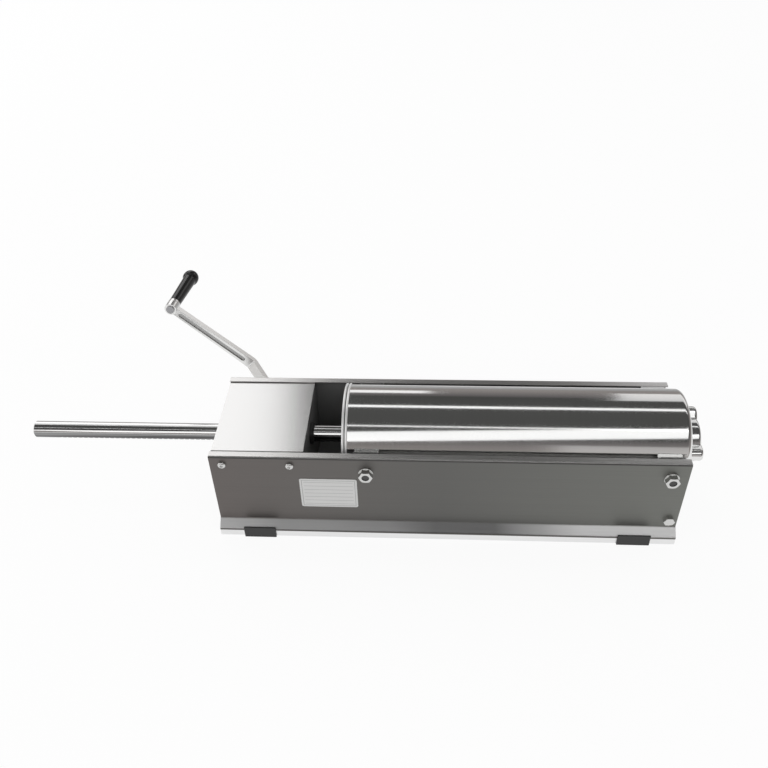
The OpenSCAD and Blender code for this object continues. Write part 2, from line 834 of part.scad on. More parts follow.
module nut_gasket() {
    color(white_plastic) placed() difference() {
        bar_x(neck_od, gasket_rear, gasket_rear + gasket_t);
        bar_x(lip_bore, gasket_rear - cut, gasket_rear + gasket_t + cut);
    }
}
module ring_nut() {
    color(bright_steel) placed() difference() {
        union() {
            bar_x(nut_body_d, nut_rear, nut_front);
            for (i = [0:nut_ears - 1]) {
                lean = ear_turn + i * 360 / nut_ears;
                spot = polar(ear_reach - ear_r, lean);
                bar_x(2 * ear_r, nut_rear, nut_front, spot[0], axis_h + spot[1]);
                run_x(nut_rear, nut_front) translate([0, axis_h]) rotate(lean) translate([0, -ear_r])
                    square([ear_reach - ear_r, 2 * ear_r]);
            }
        }
        bar_x(nut_bore, nut_rear - cut, nut_shoulder);
        bar_x(lip_bore, nut_rear, nut_front + cut);
    }
}

// Ram: the rod carries rack teeth on its underside
module rack_rod() {
    half = rack_pitch / 4;
    root_half = half - dedendum * rack_m * tan(pressure);
    tip_half = half + rack_m * tan(pressure);
    root_z = axis_h - rack_line + dedendum * rack_m;
    tip_z = axis_h - rack_tip;
    below = axis_h - rod_d / 2 - cut;
    reach = pinion_r + rack_m;
    first = -ceil((stroke_forward + reach) / rack_pitch);
    last = ceil((stroke_back + reach) / rack_pitch);
    spaces = concat(
        [[drive_x + first * rack_pitch - tip_half, below]],
        [for (i = [first:last]) let(x = drive_x + i * rack_pitch)
            each [
                [x - tip_half, tip_z], [x - root_half, root_z],
                [x + root_half, root_z], [x + tip_half, tip_z]
            ]],
        [[drive_x + last * rack_pitch + tip_half, below]]
    );
    bolt_depth = 30;
    color(bright_steel) placed() difference() {
        spun_x() polygon([
            [0, rod_rear], [rod_d / 2 - rod_chamfer, rod_rear], [rod_d / 2, rod_rear + rod_chamfer],
            [rod_d / 2, rod_front], [0, rod_front]
        ]);
        run_y(-rod_d, rod_d) polygon(spaces);
        bar_x(piston_bolt_d + 2 * hole_gap, rod_front - bolt_depth, rod_front + cut);
    }
}
module piston() {
    core_d = cyl_id - 2 * piston_gap;
    color(white_plastic) placed() difference() {
        bar_x(core_d, piston_rear, piston_front);
        bar_x(rod_d + 2 * seat_gap, piston_rear - cut, rod_front);
        bar_x(piston_bolt_d + 2 * hole_gap, piston_rear, piston_front + cut);
        for (x = seal_xs) difference() {
            bar_x(core_d + 2 * cut, x - seal_groove_w / 2, x + seal_groove_w / 2);
            bar_x(2 * (seal_in - seat_gap), x - seal_groove_w, x + seal_groove_w);
        }
    }
}
module piston_seals() {
    color(black_rubber) placed() for (x = seal_xs) difference() {
        bar_x(2 * seal_out, x - seal_w / 2, x + seal_w / 2);
        bar_x(2 * seal_in, x - seal_w, x + seal_w);
    }
}
piston_washer_t = 2.5;
module piston_washer() {
    color(bright_steel) placed() difference() {
        bar_x(wide_washer_share * piston_bolt_d, piston_front, piston_front + piston_washer_t);
        bar_x(piston_bolt_d + 2 * hole_gap, piston_front - cut, piston_front + piston_washer_t + cut);
    }
}
module piston_bolt() {
    seat = piston_front + piston_washer_t;
    engaged = 25;
    color(bright_steel) placed() {
        bar_x(piston_bolt_d, rod_front - engaged, seat);
        translate([seat, 0, axis_h]) rotate([0, 90, 0])
            hex_block(across_flats(piston_bolt_d), head_share * piston_bolt_d);
    }
}

// Rod bushes: a flange inside the gearbox, a barrel through the plate and a bevelled end outside
module rod_bush(face_x, dir) {
    bevel = 1.5;
    bore_r = rod_bush_bore / 2;
    barrel_r = rod_bush_od / 2;
    brim_r = rod_bush_flange_d / 2;
    inside = face_x + dir * sheet;
    outline = [
        [bore_r, face_x + dir * rod_bush_l], [barrel_r, face_x + dir * rod_bush_l],
        [barrel_r, inside + dir * bush_flange], [brim_r, inside + dir * bush_flange],
        [brim_r, inside], [barrel_r, inside],
        [barrel_r, face_x - dir * (bush_proud - bevel)],
        [barrel_r - bevel, face_x - dir * bush_proud], [bore_r, face_x - dir * bush_proud]
    ];
    spun_x() polygon(outline);
}
module rear_rod_bush() {
    color(black_plastic) placed() rod_bush(cover_rear, 1);
}
module front_rod_bush() {
    color(black_plastic) placed() rod_bush(cover_front, -1);
}

// Bearing plates stand on the floor pan with their feet turned outwards
plate_screw_ys = [near_plate_back - plate_foot_mid, far_plate_back + plate_foot_mid];
module bearing_plate(face, dir) {
    mid = face + dir * bearing_t / 2;
    foot_z = floor_top + bearing_t / 2;
    foot_end = face + dir * (bearing_t + bearing_foot);
    difference() {
        run_x(plate_rear, plate_front)
            polygon(strip([[foot_end, foot_z], [mid, foot_z], [mid, plate_top]], bearing_t, plate_fold_r));
        for (s = shafts) {
            bar_y(bush_od + 2 * seat_gap, face - 2 * bearing_t, face + 2 * bearing_t, s[0], s[1]);
        }
        plate_screw_holes();
    }
}
module near_bearing_plate() {
    color(dark_steel) placed() bearing_plate(near_plate_face, -1);
}
module far_bearing_plate() {
    color(dark_steel) placed() bearing_plate(far_plate_face, 1);
}
module bearing_plate_screws() {
    seat = floor_top + bearing_t;
    tip = floor_h - nut_share * plate_screw_d - thread_past;
    color(bright_steel) placed() for (x = plate_screw_xs, y = plate_screw_ys) {
        bar_z(plate_screw_d, tip, seat, x, y);
        translate([x, y, seat]) hex_block(across_flats(plate_screw_d), head_share * plate_screw_d);
    }
}
module bearing_plate_nuts() {
    h = nut_share * plate_screw_d;
    color(bright_steel) placed() for (x = plate_screw_xs, y = plate_screw_ys) difference() {
        translate([x, y, floor_h - h]) hex_block(across_flats(plate_screw_d), h);
        bar_z(plate_screw_d + 2 * hole_gap, floor_h - h - cut, floor_h + cut, x, y);
    }
}
module shaft_bush(s, face, back) {
    collar = face < back ? [face, face + bush_flange] : [face - bush_flange, face];
    difference() {
        union() {
            bar_y(bush_od, min(face, back), max(face, back), s[0], s[1]);
            bar_y(bush_flange_d, collar[0], collar[1], s[0], s[1]);
        }
        bar_y(bush_bore, min(face, back) - cut, max(face, back) + cut, s[0], s[1]);
    }
}
module shaft_bushes() {
    color(bronze) placed() for (s = shafts) {
        shaft_bush(s, near_bush_face, near_plate_back);
        shaft_bush(s, far_bush_face, far_plate_back);
    }
}
module shaft_bezels() {
    color(black_plastic) placed() for (s = shafts) difference() {
        union() {
            bar_y(bezel_barrel_d, wall_in, bezel_out, s[0], s[1]);
            bar_y(bezel_flange_d, wall_out, bezel_out, s[0], s[1]);
        }
        bar_y(bezel_bore, wall_in - cut, bezel_out + cut, s[0], s[1]);
    }
}

// Drive train: both shafts end outside the far wall in the same seat for the crank
shaft_chamfer = 1;
crank_seat = [
    [shaft_d / 2, hub_near], [crank_end_d / 2, hub_near], [crank_end_d / 2, shaft_far - shaft_chamfer],
    [crank_end_d / 2 - shaft_chamfer, shaft_far], [0, shaft_far]
];
pinion_pin_y = pinion_near - gear_hub_l / 2;
gear_pin_y = gear_far + gear_hub_l / 2;
module pin_hole(x, y, z, l) {
    bar_z(pin_d + 2 * seat_gap, z - l, z + l, x, y);
}
module gear_blank(m, teeth, start, y0, y1, x, z) {
    translate([x, 0, z]) run_y(y0, y1) polygon(gear_outline(m, teeth, start));
}
module drive_shaft() {
    color(dark_steel) placed() difference() {
        spun_y(drive_x, drive_z) polygon(concat([[0, shaft_near], [shaft_d / 2, shaft_near]], crank_seat));
        for (y = [pinion_pin_y, gear_pin_y]) pin_hole(drive_x, y, drive_z, shaft_d);
        on_crank() bar_x(set_screw_d + 2 * hole_gap, -shaft_d, -set_screw_tip + seat_gap, hub_mid, 0);
    }
}
module drive_pinion() {
    color(dark_steel) placed() difference() {
        union() {
            gear_blank(rack_m, pinion_teeth, 90, pinion_near, pinion_far, drive_x, drive_z);
            bar_y(gear_hub_d, pinion_hub_near, pinion_near, drive_x, drive_z);
        }
        bar_y(shaft_d + 2 * seat_gap, pinion_hub_near - cut, pinion_far + cut, drive_x, drive_z);
        pin_hole(drive_x, pinion_pin_y, drive_z, gear_hub_d);
    }
}
module drive_gear() {
    color(dark_steel) placed() difference() {
        union() {
            gear_blank(gear_m, gear_teeth, -slow_angle, gear_near, gear_far, drive_x, drive_z);
            bar_y(gear_hub_d, gear_far, gear_hub_far, drive_x, drive_z);
        }
        bar_y(shaft_d + 2 * seat_gap, gear_near - cut, gear_hub_far + cut, drive_x, drive_z);
        pin_hole(drive_x, gear_pin_y, drive_z, gear_hub_d);
    }
}
module drive_pins() {
    color(bright_steel) placed() for (y = [pinion_pin_y, gear_pin_y]) {
        bar_z(pin_d, drive_z - gear_hub_d / 2, drive_z + gear_hub_d / 2, drive_x, y);
    }
}
module slow_shaft() {
    r = shaft_d / 2;
    collar_r = slow_collar_d / 2;
    color(dark_steel) placed() difference() {
        spun_y(slow_x, slow_z) polygon(concat(
            [[0, shaft_near], [r, shaft_near], [r, pinion_hub_near], [collar_r, pinion_hub_near],
            [collar_r, slow_near - seat_gap], [r, slow_near - seat_gap]],
            crank_seat
        ));
        pin_hole(slow_x, slow_pin_y, slow_z, shaft_d);
    }
}
slow_pin_y = (slow_far + gear_hub_far) / 2;
module slow_pinion() {
    space_angle = 180 - slow_angle + 180 / slow_teeth;
    color(dark_steel) placed() difference() {
        union() {
            gear_blank(gear_m, slow_teeth, space_angle, slow_near, slow_far, slow_x, slow_z);
            bar_y(slow_hub_d, slow_far, gear_hub_far, slow_x, slow_z);
        }
        bar_y(shaft_d + 2 * seat_gap, slow_near - cut, gear_hub_far + cut, slow_x, slow_z);
        pin_hole(slow_x, slow_pin_y, slow_z, slow_hub_d);
    }
}
module slow_pin() {
    color(bright_steel) placed()
        bar_z(pin_d, slow_z - slow_hub_d / 2, slow_z + slow_hub_d / 2, slow_x, slow_pin_y);
}

// Crank, drawn along +X from the drive shaft and then turned to its rest direction
module on_crank() {
    translate([drive_x, 0, drive_z]) rotate([0, -crank_angle, 0]) children();
}
module at_tip() {
    on_crank() translate([crank_r, arm_y, 0]) rotate([0, 0, grip_lean]) translate([-crank_r, -arm_y, 0]) children();
}
module arm_slot(y0, y1) {
    from = crank_bend + arm_w;
    to = crank_r - boss_d / 2 - arm_w / 2;
    for (s = [from, to]) bar_y(groove_w, y0, y1, s, 0);
    translate([from, y0, -groove_w / 2]) cube([to - from, y1 - y0, groove_w]);
}
module crank_arm() {
    arm_path = [[0, hub_mid], [crank_bend, arm_y], [crank_r, arm_y]];
    near_face = arm_y - arm_t / 2;
    far_face = arm_y + arm_t / 2;
    arm_outline = [
        [0, -arm_w / 2],
        [crank_bend, -arm_w / 2],
        [crank_r, -arm_tip_w / 2],
        [crank_r, arm_tip_w / 2],
        [crank_bend, arm_w / 2],
        [0, arm_w / 2]
    ];
    color(bright_steel) placed() difference() {
        union() {
            on_crank() bar_y(hub_d, hub_near, hub_far, 0, 0);
            on_crank() intersection() {
                run_z(-arm_w, arm_w) polygon(strip(arm_path, arm_t, arm_fold_r));
                run_y(hub_near, arm_y + arm_w) polygon(arm_outline);
            }
            at_tip() bar_y(boss_d, boss_near, boss_far, crank_r, 0);
        }
        on_crank() bar_y(hub_bore, hub_near - cut, hub_far + cut, 0, 0);
        at_tip() bar_y(spindle_d + 2 * seat_gap, boss_near - cut, boss_far + cut, crank_r, 0);
        on_crank() arm_slot(near_face - cut, near_face + arm_groove);
        on_crank() arm_slot(far_face - arm_groove, far_face + cut);
        on_crank() bar_x(set_screw_d + 2 * hole_gap, -hub_d, 0, hub_mid, 0);
    }
}
module crank_set_screw() {
    head_h = nut_share * set_screw_d;
    color(bright_steel) placed() on_crank() {
        bar_x(set_screw_d, -hub_d / 2, -set_screw_tip, hub_mid, 0);
        translate([-hub_d / 2, hub_mid, 0]) rotate([0, -90, 0]) hex_block(across_flats(set_screw_d), head_h);
    }
}
module grip_spindle() {
    color(dark_steel) placed() at_tip() {
        bar_y(spindle_d, boss_near, spindle_far, crank_r, 0);
        bar_y(rivet_share * spindle_d, boss_near - rivet_t, boss_near, crank_r, 0);
    }
}
module grip_ferrule() {
    color(bright_steel) placed() at_tip() difference() {
        bar_y(ferrule_d, boss_far, ferrule_far, crank_r, 0);
        bar_y(spindle_d + 2 * seat_gap, boss_far - cut, ferrule_far + cut, crank_r, 0);
    }
}
module crank_grip() {
    neck_r = grip_d / 2;
    waist_r = (grip_d + grip_taper) / 2;
    knob_r = knob_d / 2;
    swell = knob_l / 3;
    ease = 1;
    knob_start = grip_far - knob_l;
    steps = 8;
    bore_r = spindle_d / 2 + run_gap;
    bore_end = grip_far - grip_wall_end;
    outline = concat(
        [[0, bore_end], [bore_r, bore_end], [bore_r, grip_near]],
        [[neck_r - ease, grip_near], [neck_r, grip_near + ease]],
        [for (i = [0:steps]) let(u = i / steps)
            [waist_r + (knob_r - waist_r) * (1 - cos(180 * u)) / 2, knob_start + swell * u]],
        [for (i = [0:steps]) let(a = 90 * i / steps)
            [knob_r * cos(a), grip_far - grip_round + grip_round * sin(a)]]
    );
    color(black_plastic) placed() at_tip() spun_y(crank_r, 0) polygon(outline);
}

near_side_panel();
far_side_panel();
floor_pan();
gearbox_cover();
rear_end_plate();
gearbox_bulkhead();
front_apron();
trough_liner();
data_plate();
rubber_feet();
rear_cradle();
front_cradle();
cradle_studs();
cradle_spacers();
cradle_washers();
cradle_nuts();
cover_bolts();
cover_nuts();
apron_bolts();
apron_nuts();
meat_cylinder();
cylinder_stop();
outlet_neck();
nut_gasket();
ring_nut();
rack_rod();
piston();
piston_seals();
piston_washer();
piston_bolt();
rear_rod_bush();
front_rod_bush();
near_bearing_plate();
far_bearing_plate();
bearing_plate_screws();
bearing_plate_nuts();
shaft_bushes();
shaft_bezels();
drive_shaft();
drive_pinion();
drive_gear();
drive_pins();
slow_shaft();
slow_pinion();
slow_pin();
crank_arm();
crank_set_screw();
grip_spindle();
grip_ferrule();
crank_grip();
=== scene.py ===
# %% [markdown]
# # A crank-driven sausage stuffer
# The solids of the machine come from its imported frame. This lesson dresses them: it sets up a small photo
# studio, mixes the finishes from shader nodes, and models the outer pieces again with the folds, beads and
# soft edges that catch the light on the real machine.

# %% Load the frame
import json
import math
import bmesh
import bpy
from mathutils import Matrix, Vector


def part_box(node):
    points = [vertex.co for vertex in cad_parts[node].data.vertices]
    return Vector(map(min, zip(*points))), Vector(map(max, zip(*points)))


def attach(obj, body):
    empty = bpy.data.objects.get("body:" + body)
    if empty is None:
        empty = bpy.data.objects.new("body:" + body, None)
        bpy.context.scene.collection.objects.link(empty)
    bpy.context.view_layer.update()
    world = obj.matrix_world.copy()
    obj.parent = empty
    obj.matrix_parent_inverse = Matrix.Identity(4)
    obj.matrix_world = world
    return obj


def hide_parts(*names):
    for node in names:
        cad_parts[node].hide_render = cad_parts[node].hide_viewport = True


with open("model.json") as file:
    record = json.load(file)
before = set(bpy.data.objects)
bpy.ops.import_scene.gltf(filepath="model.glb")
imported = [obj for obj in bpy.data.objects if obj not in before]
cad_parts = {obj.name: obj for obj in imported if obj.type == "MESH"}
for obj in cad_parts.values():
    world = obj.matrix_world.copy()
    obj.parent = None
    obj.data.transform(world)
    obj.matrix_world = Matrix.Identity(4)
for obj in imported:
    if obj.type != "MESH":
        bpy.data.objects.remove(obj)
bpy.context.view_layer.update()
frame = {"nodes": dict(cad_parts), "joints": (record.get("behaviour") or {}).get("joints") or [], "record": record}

scene = bpy.context.scene
scene.view_settings.view_transform = "Standard"

# %% [markdown]
# ## Reference planes
# Every place in this lesson is read from the frame, so that a new piece sits where its solid sits. A few
# sheet-metal sizes are repeated here by name, because a box tells only the outer corners of a folded part.

# %% Sizes that several pieces share
MM = 0.001
SHEET = 1.5 * MM
FOLD_MIDDLE = 2 * MM
FLANGE_W = 11 * MM
FLARE_OUT = 12 * MM
FLARE_H = 11 * MM
SKIRT_H = 13 * MM

panel_low, panel_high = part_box("near_side_panel")
far_low, far_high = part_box("far_side_panel")
cylinder_low, cylinder_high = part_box("meat_cylinder")
AXIS_Y = (cylinder_low[1] + cylinder_high[1]) / 2
AXIS_Z = (cylinder_low[2] + cylinder_high[2]) / 2
NEAR_WALL = panel_low[1] + FLARE_OUT
FAR_WALL = far_high[1] - FLARE_OUT
BODY_TOP = panel_high[2]
SKIRT_LOW = panel_low[2]
FLARE_LOW = SKIRT_LOW + SKIRT_H
FLARE_TOP = FLARE_LOW + FLARE_H
BODY_REAR = panel_low[0]
BODY_FRONT = panel_high[0]
print("body from x = %.3f to %.3f m" % (BODY_REAR, BODY_FRONT))
print("axis at y = %.4f, z = %.4f m" % (AXIS_Y, AXIS_Z))

# %% [markdown]
# ## Camera
# The picture was taken from the front and above, with the machine running across it. A camera is placed by
# its position and three angles: yaw to the side, pitch down and a slight roll.

# %% Camera
camera_data = bpy.data.cameras.new("studio_camera")
camera_data.sensor_width = 36
camera_data.lens = 39.75
camera = bpy.data.objects.new("studio_camera", camera_data)
scene.collection.objects.link(camera)
scene.camera = camera

CAMERA_SPOT = Vector((0.10175, -0.9552, 0.9436))
YAW = math.radians(-4.11)
PITCH = math.radians(39.87)
ROLL = math.radians(1.93)
forward = Vector((math.sin(YAW) * math.cos(PITCH), math.cos(YAW) * math.cos(PITCH), -math.sin(PITCH)))
level_right = Vector((math.cos(YAW), -math.sin(YAW), 0))
level_down = forward.cross(level_right)
right = level_right * math.cos(ROLL) + level_down * math.sin(ROLL)
down = level_down * math.cos(ROLL) - level_right * math.sin(ROLL)
turn = Matrix((right, -down, -forward)).transposed()
camera.matrix_world = Matrix.Translation(CAMERA_SPOT) @ turn.to_4x4()
print("camera at", [round(c, 3) for c in CAMERA_SPOT])

# %% [markdown]
# ## A small language for shaders
# Shader nodes are little machines joined by wires. Building them one call at a time is long, so one class
# wraps the end of a wire. Adding or multiplying two wires adds a Math node, and one method adds any other.

# %% The shade class
class Shade:
    """The end of a wire in a node tree. Arithmetic on it adds Math nodes."""

    def __init__(self, tree, socket=None):
        self.tree = tree
        self.socket = socket

    def node(self, kind, settings=None, sockets=None, output=0):
        made = self.tree.nodes.new(kind)
        for name, value in (settings or {}).items():
            if name == "stops":
                set_stops(made.color_ramp, value)
            else:
                setattr(made, name, value)
        for name, value in (sockets or {}).items():
            if isinstance(value, Shade):
                self.tree.links.new(value.socket, made.inputs[name])
            else:
                made.inputs[name].default_value = value
        return Shade(self.tree, made.outputs[output]) if made.outputs else made

    def math(self, operation, *values):
        sockets = dict(enumerate(values))
        return self.node("ShaderNodeMath", {"operation": operation}, sockets)

    def __add__(self, other):
        return self.math("ADD", self, other)

    def __radd__(self, other):
        return self.math("ADD", other, self)

    def __sub__(self, other):
        return self.math("SUBTRACT", self, other)

    def __rsub__(self, other):
        return self.math("SUBTRACT", other, self)

    def __mul__(self, other):
        return self.math("MULTIPLY", self, other)

    def __rmul__(self, other):
        return self.math("MULTIPLY", other, self)

    def __truediv__(self, other):
        return self.math("DIVIDE", self, other)


def set_stops(ramp, stops):
    """Gives a colour ramp its stops: pairs of position and colour."""
    while len(ramp.elements) < len(stops):
        ramp.elements.new(1.0)
    for element, (position, colour) in zip(ramp.elements, stops):
        element.position = position
        element.color = colour


def opaque(colour):
    return (*colour, 1.0)


# %% [markdown]
# ## Words of that language
# Most finishes need the same few things: a material, its surface, the place on the object, noise, a mix of two
# colours, a soft step and a bump. Each gets a short name here.

# %% Helpers that most finishes use
def new_finish(name):
    """A material with its output, and a Shade that adds nodes to it."""
    material = bpy.data.materials.new(name)
    material.use_nodes = True
    material.node_tree.nodes.clear()
    return material, Shade(material.node_tree)


def surface(tools, **sockets):
    """A Principled surface joined to the material's output."""
    names = {key.replace("_", " ").title(): value for key, value in sockets.items()}
    names = {("IOR" if key == "Ior" else key): value for key, value in names.items()}
    shader = tools.node("ShaderNodeBsdfPrincipled", sockets=names)
    tools.node("ShaderNodeOutputMaterial", sockets={"Surface": shader})


def place(tools):
    """The point on the object, and its three coordinates in metres."""
    point = tools.node("ShaderNodeTexCoord", output=3)
    parts = tools.node("ShaderNodeSeparateXYZ", sockets={0: point})
    return point, [Shade(tools.tree, parts.socket.node.outputs[i]) for i in range(3)]


def noise(tools, point, scale, detail=2.0, roughness=0.5):
    """Noise between 0 and 1, drawn out along the axes where the scale is small."""
    stretched = tools.node("ShaderNodeMapping", sockets={"Vector": point, "Scale": scale})
    sockets = {"Vector": stretched, "Scale": 1.0, "Detail": detail, "Roughness": roughness}
    return tools.node("ShaderNodeTexNoise", sockets=sockets)


def blend(tools, factor, first, second):
    """Mixes two colours."""
    sockets = {0: factor}
    for slot, colour in ((6, first), (7, second)):
        sockets[slot] = colour if isinstance(colour, Shade) else opaque(colour)
    return tools.node("ShaderNodeMix", {"data_type": "RGBA"}, sockets, output=2)


def step(tools, value, low, high):
    """0 below low, 1 above high and smooth between."""
    sockets = {"Value": value, "From Min": low, "From Max": high}
    return tools.node("ShaderNodeMapRange", {"interpolation_type": "SMOOTHSTEP"}, sockets)


def bumped(tools, height, strength, distance):
    """A normal that follows a height pattern."""
    sockets = {"Height": height, "Strength": strength, "Distance": distance}
    return tools.node("ShaderNodeBump", sockets=sockets)


# %% [markdown]
# ## Studio
# Polished metal has hardly any colour of its own: it shows the room. The room has a dark ceiling and a paler
# floor side. What the camera sees directly is plain white, and what lights the dull pieces is an even grey.

# %% World
world = bpy.data.worlds.new("studio_room")
scene.world = world
world.use_nodes = True
world.node_tree.nodes.clear()
room = Shade(world.node_tree)
ROOM_LIGHT = (0.56, 0.56, 0.56)
direction = room.node("ShaderNodeTexCoord", output=0)
height = room.node("ShaderNodeSeparateXYZ", sockets={0: direction}, output=2)
ceiling = room.node("ShaderNodeValToRGB", {"stops": [
    (0.0, (0.30, 0.28, 0.27, 1)),
    (0.18, (0.27, 0.25, 0.24, 1)),
    (0.50, (0.15, 0.14, 0.14, 1)),
    (0.62, (0.065, 0.065, 0.063, 1)),
    (1.0, (0.075, 0.075, 0.073, 1)),
]}, {0: height})
ray = room.node("ShaderNodeLightPath")
to_camera = Shade(room.tree, ray.socket.node.outputs["Is Camera Ray"])
to_metal = Shade(room.tree, ray.socket.node.outputs["Is Glossy Ray"])
seen = blend(room, to_metal, ROOM_LIGHT, ceiling)
seen = blend(room, to_camera, seen, (1.0, 1.0, 1.0))
backdrop = room.node("ShaderNodeBackground", sockets={"Color": seen})
room.node("ShaderNodeOutputWorld", sockets={"Surface": backdrop})

# %% [markdown]
# ## Lamps
# A lamp over a long cylinder is best thought of as an angle around the cylinder's axis: straight up is zero,
# towards the camera is positive. The helper puts a soft box at such an angle and turns it to the axis. Boxes
# and strips in front and behind draw the bands along the cylinder, and the rear panels whiten the cover.

# %% Soft boxes
LIGHT_CENTRE = Vector((0.16, AXIS_Y, AXIS_Z + 0.03))


def area_lamp(name, length, width, brightness, matrix):
    """An area lamp of a given brightness, as a mirror would show it."""
    lamp_data = bpy.data.lights.new(name, "AREA")
    lamp_data.shape = "RECTANGLE"
    lamp_data.size = length
    lamp_data.size_y = width
    lamp_data.energy = brightness * math.pi * length * width
    lamp = bpy.data.objects.new(name, lamp_data)
    lamp.matrix_world = matrix
    lamp.visible_camera = False
    scene.collection.objects.link(lamp)


def soft_box(name, angle, distance, length, width, brightness, along=0.0, tilt=0.0):
    """An area lamp at an angle around the cylinder's axis."""
    lean = math.radians(angle)
    outward = Vector((0, -math.sin(lean), math.cos(lean)))
    across = Vector((1, 0, 0))
    turn = Matrix((across, outward.cross(across), outward)).transposed()
    spot = LIGHT_CENTRE + outward * distance + across * along
    matrix = Matrix.Translation(spot) @ turn.to_4x4() @ Matrix.Rotation(math.radians(tilt), 4, "Z")
    area_lamp(name, length, width, brightness, matrix)


def span(distance, degrees):
    """The width of a box that fills an angle at a distance."""
    return 2 * distance * math.tan(math.radians(degrees) / 2)


soft_box("front_box", 48.5, 3.0, 5.0, span(3.0, 19), 1.1, tilt=31)
soft_box("front_strip", 28.5, 3.0, 5.0, span(3.0, 2.4), 1.3)
soft_box("low_right_panel", 76, 3.0, 2.2, span(3.0, 20), 0.26, along=1.64)
soft_box("rear_strip", -20.0, 2.6, 5.0, span(2.6, 6), 1.15)
soft_box("rear_left_panel", -52, 3.2, 4.0, span(3.2, 44), 1.18, along=-2.76)
soft_box("rear_low_strip", -70, 3.2, 0.85, span(3.2, 12), 0.85, along=-0.49)
soft_box("rear_right_panel", -60, 3.2, 3.0, span(3.2, 28), 0.66, along=2.39)

# %% [markdown]
# ## Left panel
# One more panel stands beyond the rod's end and faces the machine. It lights the faces that look that way.

# %% Left panel
LEFT_PANEL = Vector((-3.2, -1.2, 1.2))
left_turn = LEFT_PANEL.to_track_quat("Z", "Y").to_matrix()
left_matrix = Matrix.Translation(LIGHT_CENTRE + LEFT_PANEL) @ left_turn.to_4x4()
area_lamp("left_panel", 3.0, 2.0, 1.0, left_matrix)

# %% [markdown]
# ## Floor
# The floor is a pale sheet. To the camera it is mixed with plain white, which gives the clean background of a
# catalogue picture, and the part that stays a real surface keeps the soft shadow under the machine.

# %% Floor
FLOOR_SIZE = 30.0
floor_mesh = bmesh.new()
bmesh.ops.create_grid(floor_mesh, x_segments=1, y_segments=1, size=FLOOR_SIZE / 2)
floor_data = bpy.data.meshes.new("studio_floor")
floor_mesh.to_mesh(floor_data)
floor_mesh.free()
floor = bpy.data.objects.new("studio_floor", floor_data)
scene.collection.objects.link(floor)

paper, tools = new_finish("floor_paper")
ray = tools.node("ShaderNodeLightPath")
to_camera = Shade(tools.tree, ray.socket.node.outputs["Is Camera Ray"])
to_metal = Shade(tools.tree, ray.socket.node.outputs["Is Glossy Ray"])
to_glass = Shade(tools.tree, ray.socket.node.outputs["Is Transmission Ray"])
_, (_, y, _) = place(tools)
behind = step(tools, y, 0.2, 0.6)
whiteness = to_camera * 0.91 + to_glass * 0.91 + to_metal * (0.86 - 0.80 * behind)
shade = blend(tools, to_camera, (0.42, 0.42, 0.42), (0.95, 0.95, 0.95))
sheet_surface = tools.node("ShaderNodeBsdfDiffuse", sockets={"Color": shade})
plain_white = tools.node("ShaderNodeEmission", sockets={"Color": (1, 1, 1, 1), "Strength": 1.0})
mixed = tools.node("ShaderNodeMixShader", sockets={0: whiteness, 1: sheet_surface, 2: plain_white})
tools.node("ShaderNodeOutputMaterial", sockets={"Surface": mixed})
floor_data.materials.append(paper)

# %% [markdown]
# ## Steel
# Stainless sheet is brushed: fine scratches run along it, so its lights are drawn out. The helper makes any of
# the machine's steels from its colour, the way its scratches run, and how rough and deep they are.

# %% Brushed and polished steel
ALONG_X = (5.0, 900.0, 900.0)
AROUND_X = (420.0, 9.0, 9.0)
ALL_WAYS = (260.0, 260.0, 260.0)
SCRATCH = 0.2 * MM


def steel(name, colour, grain_scale, roughness, spread, depth, tint=0.10):
    """A metal with fine scratches in its colour, its roughness and its surface."""
    material, tools = new_finish(name)
    point, _ = place(tools)
    grain = noise(tools, point, grain_scale, detail=3.0, roughness=0.6)
    cloud = noise(tools, point, (14.0, 14.0, 14.0), detail=2.0)
    darker = tuple(c * (1 - tint) for c in colour)
    brushed = blend(tools, grain, darker, colour)
    rough = roughness + spread * (grain - 0.5) + spread * (cloud - 0.5)
    scratches = bumped(tools, grain, depth, SCRATCH)
    surface(tools, base_color=brushed, metallic=1.0, roughness=rough, normal=scratches)
    return material


polished_steel = steel("polished_steel", (0.84, 0.84, 0.835), AROUND_X, 0.115, 0.06, 0.05, tint=0.05)
fastener_zinc = steel("fastener_zinc", (0.70, 0.70, 0.69), ALL_WAYS, 0.11, 0.06, 0.04)
thread_steel = steel("thread_steel", (0.09, 0.09, 0.09), ALL_WAYS, 0.30, 0.10, 0.08)
gear_steel = steel("gear_steel", (0.42, 0.42, 0.43), ALL_WAYS, 0.34, 0.12, 0.08)
bush_bronze = steel("bush_bronze", (0.68, 0.50, 0.26), ALL_WAYS, 0.30, 0.12, 0.06)

# %% [markdown]
# ## Cylinder
# The tube is polished to a mirror. The two beads at its open end have a rougher buffing finish and are less
# metallic, and they carry a painted highlight: a pale colour that stays bright from any side. The groove between
# them has painted shade. The place along the axis tells the beads from the tube.

# %% Polished tube, beads with a painted highlight and painted shade in their groove
BEADS_L = 8.2 * MM
BEAD_GROOVE = 4.0 * MM


